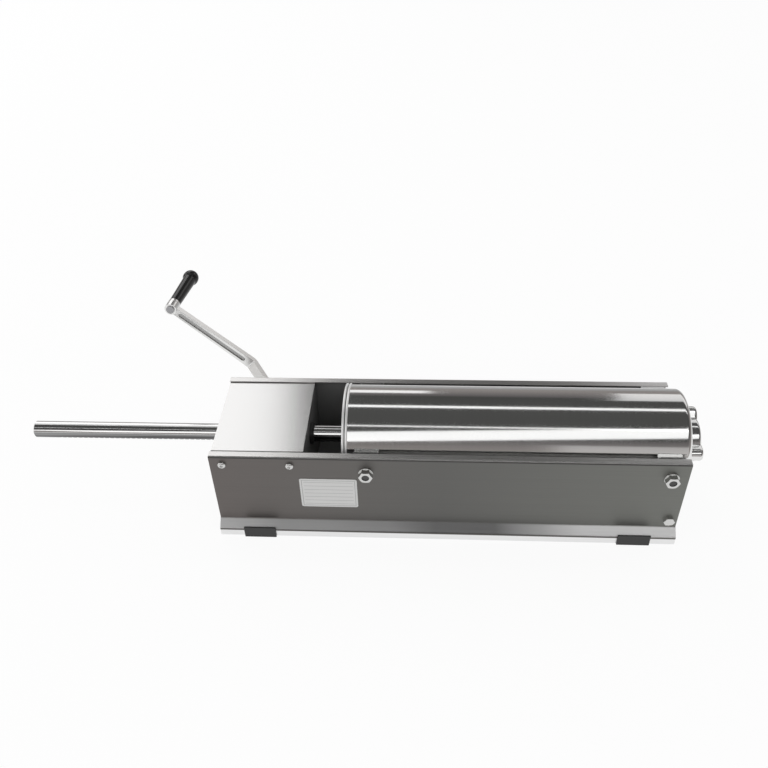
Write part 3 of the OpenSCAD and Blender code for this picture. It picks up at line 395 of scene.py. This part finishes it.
def drawn_tube():
    """Polished steel; the beads have a painted highlight and the groove between them painted shade."""
    material, tools = new_finish("tube_steel")
    point, (x, _, _) = place(tools)
    grain = noise(tools, point, AROUND_X, detail=3.0, roughness=0.6)
    cloud = noise(tools, point, (14.0, 14.0, 14.0), detail=2.0)
    buffed_and_highlit = 1 - step(tools, x - cylinder_low[0], BEADS_L - 0.6 * MM, BEADS_L)
    colour = blend(tools, grain, (0.80, 0.80, 0.795), (0.84, 0.84, 0.835))
    # Painted highlight: the beads are made pale.
    colour = blend(tools, buffed_and_highlit, colour, (0.95, 0.95, 0.945))
    off_groove = tools.math("ABSOLUTE", x - cylinder_low[0] - BEAD_GROOVE)
    groove_shade = 1 - step(tools, off_groove, 0.5 * MM, 1.0 * MM)
    # Painted shade: the groove between the beads is made dark.
    colour = blend(tools, groove_shade, colour, (0.22, 0.22, 0.22))
    rough = 0.115 + 0.06 * (grain - 0.5) + 0.06 * (cloud - 0.5) + 0.06 * buffed_and_highlit
    surface(tools, base_color=colour, metallic=1.0 - 0.55 * buffed_and_highlit, roughness=rough,
            normal=bumped(tools, grain, 0.05, SCRATCH))
    return material


tube_steel = drawn_tube()

# %% [markdown]
# ## Cover sheet
# The cover is brushed like the rest. Along its near side, where it goes under the panel's flange, a thin line of
# painted shadow stands for the shade in that corner.

# %% Brushed cover with a painted shadow line
FLANGE_SHADOW_FULL = 3.3 * MM
FLANGE_SHADOW_END = 4.7 * MM


def cover_sheet():
    """Brushed steel with a painted shadow line beside the near flange."""
    material, tools = new_finish("cover_steel")
    point, (_, y, _) = place(tools)
    grain = noise(tools, point, ALONG_X, detail=3.0, roughness=0.6)
    flange_shadow = 1 - step(tools, y - panel_high[1], FLANGE_SHADOW_FULL, FLANGE_SHADOW_END)
    colour = blend(tools, grain, (0.71, 0.705, 0.70), (0.81, 0.805, 0.80))
    # Painted shadow: a dark line where the cover goes under the near flange.
    colour = blend(tools, flange_shadow, colour, (0.12, 0.118, 0.115))
    rough = 0.19 + 0.08 * (grain - 0.5)
    surface(tools, base_color=colour, metallic=1.0, roughness=rough,
            normal=bumped(tools, grain, 0.08, SCRATCH))
    return material


cover_steel = cover_sheet()

# %% [markdown]
# ## Crank arm
# The forged arm is polished on its raised edges, and its two grooves are left dull from the die. Three
# distances tell the shader where a groove is: the depth under the flat face, the way along the arm and the way
# off its line.

# %% Crank arm with dull grooves
ARM_T = 8.5 * MM
GROOVE_HALF = 3.5 * MM
GROOVE_ENDS = (62 * MM, 187 * MM)
joints = {joint["name"]: joint for joint in frame["joints"]}
hub_x, _, hub_z = joints["crank_turn"]["pos_m"]
tip_x, ARM_MIDDLE, tip_z = joints["grip_spin"]["pos_m"]
arm_run = Vector((tip_x - hub_x, tip_z - hub_z)).normalized()


def forged_arm():
    """Polished steel whose grooves keep the grain of the die."""
    material, tools = new_finish("crank_steel")
    point, (x, y, z) = place(tools)
    grain = noise(tools, point, ALL_WAYS, detail=3.0, roughness=0.6)
    cast = noise(tools, point, (700.0, 700.0, 700.0), detail=2.0)
    depth = ARM_T / 2 - tools.math("ABSOLUTE", y - ARM_MIDDLE)
    along = (x - hub_x) * arm_run.x + (z - hub_z) * arm_run.y
    aside = tools.math("ABSOLUTE", (x - hub_x) * arm_run.y - (z - hub_z) * arm_run.x)
    deep = step(tools, depth, 0.5 * MM, 1.2 * MM)
    between = step(tools, along, GROOVE_ENDS[0], GROOVE_ENDS[0] + MM)
    between = between * (1 - step(tools, along, GROOVE_ENDS[1] - MM, GROOVE_ENDS[1]))
    off_line = step(tools, aside, GROOVE_HALF + 0.1 * MM, GROOVE_HALF + 0.5 * MM)
    dull = deep * between * (1 - off_line)
    colour = blend(tools, grain, (0.82, 0.82, 0.81), (0.92, 0.92, 0.91))
    die_grain = blend(tools, cast, (0.36, 0.36, 0.36), (0.60, 0.60, 0.59))
    colour = blend(tools, dull, colour, die_grain)
    rough = 0.24 + 0.16 * dull + 0.10 * (grain - 0.5)
    surface(tools, base_color=colour, metallic=1.0, roughness=rough,
            normal=bumped(tools, cast * dull, 0.2, 0.3 * MM))
    return material


crank_steel = forged_arm()

# %% [markdown]
# ## Rod
# The rod's upper side is ground and chromed. Its lower side, which carries the rack, is rougher and has painted
# shade that makes it darker.

# %% Chromed rod with painted shade on its underside
UNDERSIDE_SHADE_LOW = 3.2 * MM
UNDERSIDE_SHADE_HIGH = 4.6 * MM


def rod_with_painted_shade():
    """Chrome that turns rougher below a line along the rod, with painted shade there."""
    material, tools = new_finish("rod_chrome")
    point, (_, _, z) = place(tools)
    grain = noise(tools, point, ALONG_X, detail=2.0)
    shade_noise = noise(tools, point, (4.0, 260.0, 260.0), detail=2.0)
    shaded_underside = 1 - step(tools, z, AXIS_Z + UNDERSIDE_SHADE_LOW, AXIS_Z + UNDERSIDE_SHADE_HIGH)
    shade_mottle = step(tools, shade_noise, 0.35, 0.65)
    underside_shade_tone = blend(tools, shade_mottle, (0.10, 0.10, 0.10), (0.30, 0.30, 0.30))
    # Painted shade: below the line the rod is made dark, mottled by noise.
    tone = blend(tools, shaded_underside, (0.80, 0.80, 0.80), underside_shade_tone)
    rough = 0.07 + 0.10 * shaded_underside + 0.03 * (grain - 0.5)
    surface(tools, base_color=tone, metallic=1.0, roughness=rough,
            normal=bumped(tools, grain, 0.03, SCRATCH))
    return material


rod_chrome = rod_with_painted_shade()

# %% [markdown]
# ## Side panels' steel
# The tall walls are satin. Their folded top is polished and has a painted highlight, with a painted shade line in
# the fold under it. The flare below has a painted reflection that is dark in its middle, its lower fold a painted
# dark line, and the skirt under it a painted bright reflection. The faces between the walls are painted lighter
# where they lie in shade. The height on the object tells the shader which band it is on, and the place along the
# body gives the slow change of tone.

# %% Satin wall with painted highlights, reflections and shade on its folds
def grey(value, position):
    """A stop of a colour ramp in one grey."""
    return position, (value, value, value, 1)


def satin_wall():
    """Satin steel with painted highlight, reflection and shade bands that follow the folds of a side panel."""
    material, tools = new_finish("wall_steel")
    point, (x, y, z) = place(tools)
    grain = noise(tools, point, ALONG_X, detail=3.0, roughness=0.6)
    cloud = noise(tools, point, (6.0, 6.0, 6.0), detail=2.0)
    along = (x - BODY_REAR) / (BODY_FRONT - BODY_REAR) + 0.08 * (cloud - 0.5)
    satin = tools.node("ShaderNodeValToRGB", {"stops": [
        (0.0, (0.182, 0.165, 0.157, 1)),
        (0.5, (0.160, 0.159, 0.152, 1)),
        (1.0, (0.217, 0.221, 0.205, 1)),
    ]}, {0: along})
    # Painted reflection: the flare's grey tones along the body, darkest in its middle.
    flare = tools.node("ShaderNodeValToRGB", {"stops": [
        grey(0.70, 0.0), grey(0.42, 0.14), grey(0.30, 0.38), grey(0.17, 0.48), grey(0.17, 0.62),
        grey(0.45, 0.72), grey(0.75, 0.80), grey(0.95, 1.0),
    ]}, {0: along})
    below_wall = 1 - step(tools, z, FLARE_TOP - 1.5 * MM, FLARE_TOP + 0.5 * MM)
    below_flare = 1 - step(tools, z, FLARE_LOW - 0.5 * MM, FLARE_LOW + 1.0 * MM)
    below_fold = 1 - step(tools, z, FLARE_LOW - 3.0 * MM, FLARE_LOW - 2.0 * MM)
    fold_shade = step(tools, z, BODY_TOP - 2.9 * MM, BODY_TOP - 2.3 * MM)
    polished_top_highlight = step(tools, z, BODY_TOP - 0.75 * MM, BODY_TOP - 0.3 * MM)
    from_middle = tools.math("ABSOLUTE", y - AXIS_Y)
    half_w = AXIS_Y - NEAR_WALL
    inside = 1 - step(tools, from_middle, half_w - 1.2 * MM, half_w - 0.6 * MM)
    colour = blend(tools, below_wall, satin, flare)
    # Painted shade: a dark line at the flare's lower fold.
    colour = blend(tools, below_flare, colour, (0.10, 0.095, 0.09))
    # Painted reflection: the skirt is made bright.
    colour = blend(tools, below_fold, colour, (0.95, 0.95, 0.95))
    # Painted shade: a dark band in the fold just under the top flange.
    colour = blend(tools, fold_shade, colour, (0.10, 0.098, 0.095))
    # Painted light: the faces between the walls, which lie in shade, are made lighter.
    colour = blend(tools, inside, colour, (0.50, 0.49, 0.48))
    # Painted highlight: the folded top is made bright; it is also smoother.
    colour = blend(tools, polished_top_highlight, colour, (0.84, 0.83, 0.82))
    streaked = blend(tools, grain * 0.18, colour, (0.12, 0.12, 0.12))
    rough = 0.48 - 0.12 * below_wall - 0.20 * polished_top_highlight + 0.10 * (grain - 0.5)
    surface(tools, base_color=streaked, metallic=1.0, roughness=rough,
            normal=bumped(tools, grain, 0.10, SCRATCH))
    return material


wall_steel = satin_wall()

# %% [markdown]
# ## Paint, rubber and plastic
# These finishes are not metal: their colour comes from inside, with a clear sheen on top. Small noise keeps
# them from looking like one flat tone.

# %% Painted and moulded finishes
def moulded(name, colour, lighter, roughness, spread, grain_size, depth, coat=0.0, ior=1.5):
    """A painted or moulded surface with a fine mottle."""
    material, tools = new_finish(name)
    point, _ = place(tools)
    fine = noise(tools, point, (grain_size,) * 3, detail=4.0, roughness=0.6)
    broad = noise(tools, point, (22.0, 22.0, 22.0), detail=2.0)
    mottle = fine * 0.6 + broad * 0.4
    tone = blend(tools, mottle, colour, lighter)
    rough = roughness + spread * (mottle - 0.5)
    surface(tools, base_color=tone, roughness=rough, coat_weight=coat, ior=ior,
            normal=bumped(tools, fine, depth, 0.3 * MM))
    return material


DARK_GREY = (0.110, 0.110, 0.110), (0.180, 0.179, 0.178)
BUSH_BLACK = (0.010, 0.010, 0.010), (0.026, 0.026, 0.026)
RUBBER_BLACK = (0.020, 0.020, 0.020), (0.070, 0.070, 0.070)
GRIP_BLACK = (0.006, 0.006, 0.006), (0.014, 0.014, 0.014)
OFF_WHITE = (0.74, 0.74, 0.71), (0.86, 0.86, 0.84)
# The black coat is real paint on the bulkhead and bezels; on the trough liner it is painted shade, a dark sheet
# where the trough's interior lies in shade.
black_coat = moulded("black_coat", *DARK_GREY, 0.55, 0.2, 900.0, 0.25)
bush_plastic = moulded("bush_plastic", *BUSH_BLACK, 0.34, 0.2, 600.0, 0.10)
foot_rubber = moulded("foot_rubber", *RUBBER_BLACK, 0.60, 0.3, 700.0, 0.30)
grip_plastic = moulded("grip_plastic", *GRIP_BLACK, 0.16, 0.10, 500.0, 0.05, coat=0.2, ior=1.33)
piston_plastic = moulded("piston_plastic", *OFF_WHITE, 0.42, 0.2, 500.0, 0.10)

# %% [markdown]
# ## Blank plate
# The plate on the near wall is satin aluminium with an engraved frame and empty ruled rows, as such plates
# carry before anything is filled in. The rows are drawn by the height on the plate.

# %% Ruled plate
PLATE_FRAME = 3 * MM
PLATE_ROWS = 7
plate_low, plate_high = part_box("data_plate")


def ruled_plate():
    """Satin aluminium with an engraved frame and empty rows."""
    material, tools = new_finish("plate_silver")
    point, (x, _, z) = place(tools)
    grain = noise(tools, point, (30.0, 900.0, 900.0), detail=2.0)
    middle = [(low + high) / 2 for low, high in zip(plate_low, plate_high)]
    half = [(high - low) / 2 for low, high in zip(plate_low, plate_high)]
    from_side = half[0] - tools.math("ABSOLUTE", x - middle[0])
    from_end = half[2] - tools.math("ABSOLUTE", z - middle[2])
    inset = tools.math("MINIMUM", from_side, from_end)
    frame_line = 1 - step(tools, tools.math("ABSOLUTE", inset - PLATE_FRAME), 0.2 * MM, 0.5 * MM)
    row = (2 * half[2] - 2 * PLATE_FRAME) / PLATE_ROWS
    in_row = tools.math("FRACT", (z - (plate_low[2] + PLATE_FRAME)) / row)
    line = 1 - step(tools, tools.math("ABSOLUTE", in_row - 0.5), 0.02, 0.06)
    inside = step(tools, inset, 5.5 * MM, 6.0 * MM)
    marks = tools.math("MAXIMUM", frame_line, line * inside)
    base = blend(tools, grain, (0.80, 0.80, 0.79), (0.88, 0.88, 0.87))
    colour = blend(tools, marks * 0.55, base, (0.10, 0.10, 0.10))
    surface(tools, base_color=colour, metallic=0.15, roughness=0.42 + 0.1 * grain,
            normal=bumped(tools, marks, -0.2, SCRATCH))
    return material


plate_silver = ruled_plate()

# %% [markdown]
# ## Finishes on the solids
# Each solid of the frame takes one of these finishes. Pieces that are modelled again further on hide their
# solid, but the list is complete, so nothing is left in a plain colour.

# %% Give every solid its finish
finishes = {
    "wall_steel": wall_steel, "cover_steel": cover_steel, "polished_steel": polished_steel,
    "rod_chrome": rod_chrome, "black_coat": black_coat, "plate_silver": plate_silver,
    "foot_rubber": foot_rubber, "fastener_zinc": fastener_zinc, "bush_bronze": bush_bronze,
    "gear_steel": gear_steel, "crank_steel": crank_steel, "grip_plastic": grip_plastic,
    "piston_plastic": piston_plastic, "bush_plastic": bush_plastic, "thread_steel": thread_steel,
    "tube_steel": tube_steel,
}
solids_by_finish = {
    "wall_steel": ["near_side_panel", "far_side_panel", "floor_pan", "rear_end_plate", "front_apron"],
    "cover_steel": ["gearbox_cover"],
    "tube_steel": ["meat_cylinder"],
    "polished_steel": ["rear_cradle", "front_cradle", "cradle_spacers", "cylinder_stop",
                       "outlet_neck", "ring_nut"],
    "rod_chrome": ["rack_rod"],
    # The trough liner carries painted shade: a dark sheet in the shaded trough.
    "black_coat": ["gearbox_bulkhead", "trough_liner", "shaft_bezels"],
    "plate_silver": ["data_plate"],
    "foot_rubber": ["rubber_feet", "piston_seals"],
    "thread_steel": ["cradle_studs"],
    "fastener_zinc": ["cradle_washers", "cradle_nuts", "cover_bolts", "cover_nuts",
                      "apron_bolts", "apron_nuts", "bearing_plate_screws", "bearing_plate_nuts",
                      "piston_washer", "piston_bolt", "crank_set_screw"],
    "bush_bronze": ["shaft_bushes"],
    "bush_plastic": ["rear_rod_bush", "front_rod_bush"],
    "gear_steel": ["near_bearing_plate", "far_bearing_plate", "drive_shaft", "drive_pinion", "drive_gear",
                   "drive_pins", "slow_shaft", "slow_pinion", "slow_pin", "grip_spindle"],
    "crank_steel": ["crank_arm", "grip_ferrule"],
    "grip_plastic": ["crank_grip"],
    "piston_plastic": ["piston", "nut_gasket"],
}
finish_of = {}
for finish, solids in solids_by_finish.items():
    for solid in solids:
        finish_of[solid] = finishes[finish]
for solid, finish in finish_of.items():
    slots = frame["nodes"][solid].data.materials
    slots.clear()
    slots.append(finish)
print("solids with a finish:", len(finish_of))

# %% [markdown]
# ## From mesh to piece
# A piece is shaped as a mesh in memory and then becomes an object. The helper hides the solid that the piece
# stands for, takes over its finish and lets the piece ride on the same body, so that it moves as the solid
# does. Smooth shading would bend the light on large faces beside small rounds, so a modifier lets the large
# faces win.

# %% Helpers for new pieces
SHARP = math.radians(25)
bodies = frame["record"]["behaviour"]["bodies"]
body_of = {solid: body for body, solids in bodies.items() for solid in solids}
pieces = []


def add_piece(mesh, solid):
    """Makes an object of the mesh, which stands for one solid of the frame."""
    bmesh.ops.recalc_face_normals(mesh, faces=mesh.faces)
    data = bpy.data.meshes.new(solid + "_look")
    mesh.to_mesh(data)
    mesh.free()
    data.shade_smooth()
    data.set_sharp_from_angle(angle=SHARP)
    data.materials.append(finish_of[solid])
    piece = bpy.data.objects.new(solid + "_look", data)
    scene.collection.objects.link(piece)
    flat_faces = piece.modifiers.new("flat_faces", "WEIGHTED_NORMAL")
    flat_faces.keep_sharp = True
    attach(piece, body_of[solid])
    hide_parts(solid)
    pieces.append(piece)
    return piece


def is_crisp(edge, least=45):
    """True where two faces meet at a sharp corner."""
    return edge.is_manifold and edge.calc_face_angle() > math.radians(least)


def soften(mesh, width):
    """Rounds every sharp edge of a mesh a little."""
    crisp = [edge for edge in mesh.edges if is_crisp(edge)]
    bmesh.ops.bevel(mesh, geom=crisp, offset=width, segments=2, profile=0.5, affect="EDGES",
                    clamp_overlap=True, material=-1)


# %% [markdown]
# ## Folded sheets
# A brake press folds a flat sheet along straight lines. The mesh is made the same way: a row of corners is
# drawn out along the body, each fold line is rounded by the bend's radius, and the surface is given its
# thickness.

# %% Folded sheet
def fold_swing(before, corner, after):
    """The angle by which the path turns at a corner."""
    first = Vector(corner) - Vector(before)
    second = Vector(after) - Vector(corner)
    return first.angle(second)


def folded_sheet(path, ends, radius, thickness):
    """A sheet with its middle on a path of (y, z) corners, drawn out between two x ends."""
    mesh = bmesh.new()
    row = [mesh.verts.new((ends[0], y, z)) for y, z in path]
    edges = [mesh.edges.new(pair) for pair in zip(row, row[1:])]
    made = bmesh.ops.extrude_edge_only(mesh, edges=edges)["geom"]
    moved = [item for item in made if isinstance(item, bmesh.types.BMVert)]
    bmesh.ops.translate(mesh, verts=moved, vec=(ends[1] - ends[0], 0, 0))
    for before, corner, after in zip(path, path[1:], path[2:]):
        reach = radius * math.tan(fold_swing(before, corner, after) / 2)
        here = {v for v in mesh.verts if math.dist((v.co.y, v.co.z), corner) < 0.01 * MM}
        fold = [edge for edge in mesh.edges if here.issuperset(edge.verts)]
        bmesh.ops.bevel(mesh, geom=fold, offset=reach, segments=6, profile=0.5, affect="EDGES",
                        material=-1)
    bmesh.ops.recalc_face_normals(mesh, faces=mesh.faces)
    for vert in mesh.verts:
        vert.co += vert.normal * vert.calc_shell_factor() * thickness / 2
    bmesh.ops.solidify(mesh, geom=mesh.faces[:], thickness=thickness)
    return mesh


# %% [markdown]
# ## Near side panel
# The path runs from the flange on top, down the wall, out along the flare and down the skirt.

# %% Near side panel
EDGE_EASE = 0.25 * MM
panel_path = [
    (NEAR_WALL + FLANGE_W, BODY_TOP - SHEET / 2),
    (NEAR_WALL + SHEET / 2, BODY_TOP - SHEET / 2),
    (NEAR_WALL + SHEET / 2, FLARE_TOP),
    (NEAR_WALL - FLARE_OUT + SHEET / 2, FLARE_LOW),
    (NEAR_WALL - FLARE_OUT + SHEET / 2, SKIRT_LOW),
]
panel_mesh = folded_sheet(panel_path, (BODY_REAR, BODY_FRONT), FOLD_MIDDLE, SHEET)
soften(panel_mesh, EDGE_EASE)
near_panel = add_piece(panel_mesh, "near_side_panel")
print("near panel from", [round(c, 5) for c in near_panel.bound_box[0]])
print("its solid from", [round(c, 5) for c in panel_low])

# %% [markdown]
# ## Turned and drawn shapes
# The cylinder and the grip are round about an axis. Half of their outline is drawn as points of place along
# the axis and distance from it, and the outline is spun once around.

# %% Spun shapes
def arc(centre, radii, start, end, steps):
    """Points on a quarter, a half or any part of an ellipse, in degrees."""
    angles = [math.radians(start + (end - start) * i / steps) for i in range(steps + 1)]
    return [(centre[0] + radii[0] * math.cos(a), centre[1] + radii[1] * math.sin(a)) for a in angles]


def spun(outline, steps, closed):
    """An outline of (along, out) points turned around the X axis."""
    mesh = bmesh.new()
    row = [mesh.verts.new((along, 0, out)) for along, out in outline]
    pairs = list(zip(row, row[1:])) + ([(row[-1], row[0])] if closed else [])
    edges = [mesh.edges.new(pair) for pair in pairs]
    bmesh.ops.spin(mesh, geom=row + edges, cent=(0, 0, 0), axis=(1, 0, 0), dvec=(0, 0, 0),
                   angle=2 * math.pi, steps=steps, use_merge=True)
    bmesh.ops.remove_doubles(mesh, verts=mesh.verts, dist=0.001 * MM)
    return mesh


# %% [markdown]
# ## Meat cylinder
# The open end has two rolled beads that stiffen it. The other end is drawn in with a rounded shoulder to a
# flat face, where the outlet neck is welded on.

# %% Meat cylinder
CYL_WALL = 1.5 * MM
SHOULDER_R = 8 * MM
RIM_OUT = 2 * MM
RIM_L = 3.2 * MM
RIM_GROOVE = 1.5 * MM
OUTLET_R = 23 * MM

cyl_rear, cyl_front = cylinder_low[0], cylinder_high[0]
CYL_R = (cylinder_high[2] - cylinder_low[2]) / 2 - RIM_OUT
beads = [cyl_rear + RIM_L / 2 + i * (RIM_L + RIM_GROOVE) for i in range(2)]
shoulder = (cyl_front - SHOULDER_R, CYL_R - SHOULDER_R)
inner_r = SHOULDER_R - CYL_WALL
outline = [(cyl_rear, CYL_R - CYL_WALL)]
for bead in beads:
    outline += arc((bead, CYL_R), (RIM_L / 2, RIM_OUT), 180, 0, 10)
outline += arc(shoulder, (SHOULDER_R, SHOULDER_R), 90, 0, 10)
outline += [(cyl_front, OUTLET_R), (cyl_front - CYL_WALL, OUTLET_R)]
outline += arc(shoulder, (inner_r, inner_r), 0, 90, 8)
cylinder_mesh = spun(outline, 160, closed=True)
bmesh.ops.translate(cylinder_mesh, verts=cylinder_mesh.verts, vec=(0, AXIS_Y, AXIS_Z))
add_piece(cylinder_mesh, "meat_cylinder")

# %% [markdown]
# ## Grip
# The grip widens towards a round knob. Its axis is that of the joint on which it spins.

# %% Grip
GRIP_D = 17 * MM
GRIP_TAPER = 2.5 * MM
GRIP_L = 91.9 * MM
KNOB_D = 24 * MM
KNOB_L = 22 * MM
GRIP_START = 11.8 * MM
SPINDLE_BORE = 4.05 * MM
SPINDLE_ROOM = 6 * MM

grip_axis = Vector(joints["grip_spin"]["axis"])
knob_r = KNOB_D / 2
waist_r = (GRIP_D + GRIP_TAPER) / 2
knob_start = GRIP_L - KNOB_L
outline = [(GRIP_L - SPINDLE_ROOM, 0), (GRIP_L - SPINDLE_ROOM, SPINDLE_BORE), (0, SPINDLE_BORE)]
outline += arc((1 * MM, GRIP_D / 2 - 1 * MM), (1 * MM, 1 * MM), 180, 90, 4)
for i in range(11):
    swell = (1 - math.cos(math.pi * i / 10)) / 2
    outline.append((knob_start + KNOB_L / 3 * (i / 10), waist_r + (knob_r - waist_r) * swell))
outline += arc((GRIP_L - knob_r, 0), (knob_r, knob_r), 90, 0, 14)
grip_mesh = spun(outline, 64, closed=False)
turn = Vector((1, 0, 0)).rotation_difference(grip_axis).to_matrix().to_4x4()
stand = Matrix.Translation(Vector(joints["grip_spin"]["pos_m"]) + grip_axis * GRIP_START)
bmesh.ops.transform(grip_mesh, matrix=stand @ turn, verts=grip_mesh.verts)
add_piece(grip_mesh, "crank_grip")

# %% [markdown]
# ## Ring nut
# The nut is round with three fingers for turning it by hand. One formula gives its outline: the reach at each
# angle is the larger of the body and the fingers, blended so that they meet in a fillet. Rings of that outline
# are bridged from the back to the front and back through the bore.

# %% Ring nut
NUT_R = 31.3 * MM
NUT_BORE = 26.3 * MM
LIP_BORE = 23 * MM
NUT_LIP = 4.5 * MM
EARS = 3
EAR_TURN = math.radians(50)
EAR_R = 9 * MM
EAR_REACH = 46 * MM
FILLET = 1.6 * MM
NUT_EASE = 4.5 * MM


def ear_reach(away):
    """The reach of a round-ended finger at an angle away from its middle."""
    tip = EAR_REACH - EAR_R
    if math.cos(away) <= 0:
        return 0.0
    off = abs(tip * math.sin(away))
    if off < EAR_R:
        to_tip = tip * math.cos(away) + math.sqrt(EAR_R ** 2 - off ** 2)
        if to_tip * math.cos(away) > tip:
            return to_tip
    return EAR_R / abs(math.sin(away))


def nut_reach(angle):
    """The nut's radius at an angle, with fillets between the body and the fingers."""
    reaches = [NUT_R]
    for i in range(EARS):
        away = angle - EAR_TURN - i * 2 * math.pi / EARS
        reaches.append(ear_reach(math.remainder(away, 2 * math.pi)))
    return FILLET * math.log(sum(math.exp(reach / FILLET) for reach in reaches))


def ring(mesh, x, reach, points=144):
    """A closed ring of edges around the cylinder's axis."""
    angles = [2 * math.pi * i / points for i in range(points)]
    spots = [(AXIS_Y + reach(a) * math.cos(a), AXIS_Z + reach(a) * math.sin(a)) for a in angles]
    row = [mesh.verts.new((x, y, z)) for y, z in spots]
    return [mesh.edges.new((row[i - 1], row[i])) for i in range(points)]


nut_low, nut_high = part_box("ring_nut")
nut_rear, nut_front = nut_low[0], nut_high[0]
nut_shoulder = nut_front - NUT_LIP
edge_steps = [math.radians(90 * i / 6) for i in range(7)]
edge = [(NUT_EASE * (1 - math.sin(a)), NUT_EASE * (1 - math.cos(a))) for a in edge_steps]
outside = [(nut_rear + inward, drop) for inward, drop in reversed(edge)]
outside += [(nut_front - inward, drop) for inward, drop in edge]
inside = [(nut_front, LIP_BORE), (nut_shoulder, LIP_BORE)]
inside += [(nut_shoulder, NUT_BORE), (nut_rear, NUT_BORE)]
nut_mesh = bmesh.new()
rings = [ring(nut_mesh, x, lambda a, drop=drop: nut_reach(a) - drop) for x, drop in outside]
rings += [ring(nut_mesh, x, lambda a, radius=radius: radius) for x, radius in inside]
for first, second in zip(rings, rings[1:] + rings[:1]):
    bmesh.ops.bridge_loops(nut_mesh, edges=first + second)
add_piece(nut_mesh, "ring_nut")

# %% [markdown]
# ## Gearbox cover
# The cover is one wide sheet, folded down at both sides behind the panels.

# %% Gearbox cover
cover_low, cover_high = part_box("gearbox_cover")
cover_mid = cover_high[2] - SHEET / 2
cover_path = [
    (cover_low[1] + SHEET / 2, cover_low[2]),
    (cover_low[1] + SHEET / 2, cover_mid),
    (cover_high[1] - SHEET / 2, cover_mid),
    (cover_high[1] - SHEET / 2, cover_low[2]),
]
cover_mesh = folded_sheet(cover_path, (cover_low[0], cover_high[0]), FOLD_MIDDLE, SHEET)
soften(cover_mesh, EDGE_EASE)
add_piece(cover_mesh, "gearbox_cover")

# %% [markdown]
# ## Softened solids
# Forged, stamped and moulded pieces keep the form of their solid, but no real edge is perfectly sharp. A copy
# of the solid's mesh is joined at its seams, its flat faces are merged, and its sharp edges are rounded.

# %% Softened copies
FLAT = math.radians(0.1)


def copied(solid):
    """A solid's mesh, joined at its seams and with whole flat faces."""
    mesh = bmesh.new()
    mesh.from_mesh(frame["nodes"][solid].data)
    bmesh.ops.remove_doubles(mesh, verts=mesh.verts, dist=0.001 * MM)
    bmesh.ops.dissolve_limit(mesh, angle_limit=FLAT, verts=mesh.verts, edges=mesh.edges)
    return mesh


def softened(solid, width):
    """A copy of a solid with rounded edges, which stands for it."""
    mesh = copied(solid)
    soften(mesh, width)
    add_piece(mesh, solid)


edge_widths = {
    EDGE_EASE: ["far_side_panel", "rear_end_plate", "front_apron", "rear_cradle", "front_cradle",
                "data_plate", "cradle_washers", "trough_liner"],
    0.35 * MM: ["cradle_nuts", "crank_set_screw", "grip_ferrule", "shaft_bezels", "cradle_studs"],
    0.9 * MM: ["crank_arm"],
}
for width, solids in edge_widths.items():
    for solid in solids:
        softened(solid, width)

# %% [markdown]
# ## Cover bolts
# Each domed head has a recess for the driver. Its mesh is a stack of rings, so pushing the innermost ring into
# the head makes the recess.

# %% Cover bolts
RECESS_R = 2 * MM
RECESS_DEEP = 2.4 * MM
bolt_low, bolt_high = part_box("cover_bolts")
head_r = (bolt_high[2] - bolt_low[2]) / 2
bolt_z = bolt_low[2] + head_r
bolts_mesh = copied("cover_bolts")
pushed = 0
for vert in bolts_mesh.verts:
    for bolt_x in (bolt_low[0] + head_r, bolt_high[0] - head_r):
        off_axis = math.hypot(vert.co.x - bolt_x, vert.co.z - bolt_z)
        from_wall = abs(vert.co.y - AXIS_Y) - (AXIS_Y - NEAR_WALL)
        if off_axis < RECESS_R and from_wall > RECESS_DEEP:
            vert.co.y -= math.copysign(RECESS_DEEP, vert.co.y - AXIS_Y)
            pushed += 1
add_piece(bolts_mesh, "cover_bolts")
print("points pushed into the bolt heads:", pushed)

# %% [markdown]
# ## Sunk faces
# A pressed bolt head is dished and a moulded foot is sunk inside a raised border. Both are made the same way:
# the outer face is drawn in to leave a border, and what is inside is pushed down.

# %% Apron bolts and rubber feet
def sunk(solid, least_area, border, depth, width):
    """A copy of a solid whose outward faces at the two sides are sunk inside a border."""
    mesh = copied(solid)
    sides = [f for f in mesh.faces if abs(f.normal.y) > 0.99 and f.calc_area() > least_area]
    away = {f: f.calc_center_median().y - AXIS_Y for f in sides}
    outer = [f for f in sides if away[f] * f.normal.y > FAR_WALL - AXIS_Y]
    furthest = max(abs(away[f]) for f in outer)
    outer = [f for f in outer if abs(away[f]) > furthest - 0.1 * MM]
    bmesh.ops.inset_individual(mesh, faces=outer, thickness=border, depth=-depth)
    soften(mesh, width)
    add_piece(mesh, solid)
    return len(outer)


print("dished bolts:", sunk("apron_bolts", 20 * MM * MM, 1.6 * MM, 1.2 * MM, 0.3 * MM))
print("feet with a sunk face:", sunk("rubber_feet", 600 * MM * MM, 2.4 * MM, 0.7 * MM, 0.5 * MM))
print("new pieces:", len(pieces), "with", sum(len(p.data.polygons) for p in pieces), "faces")
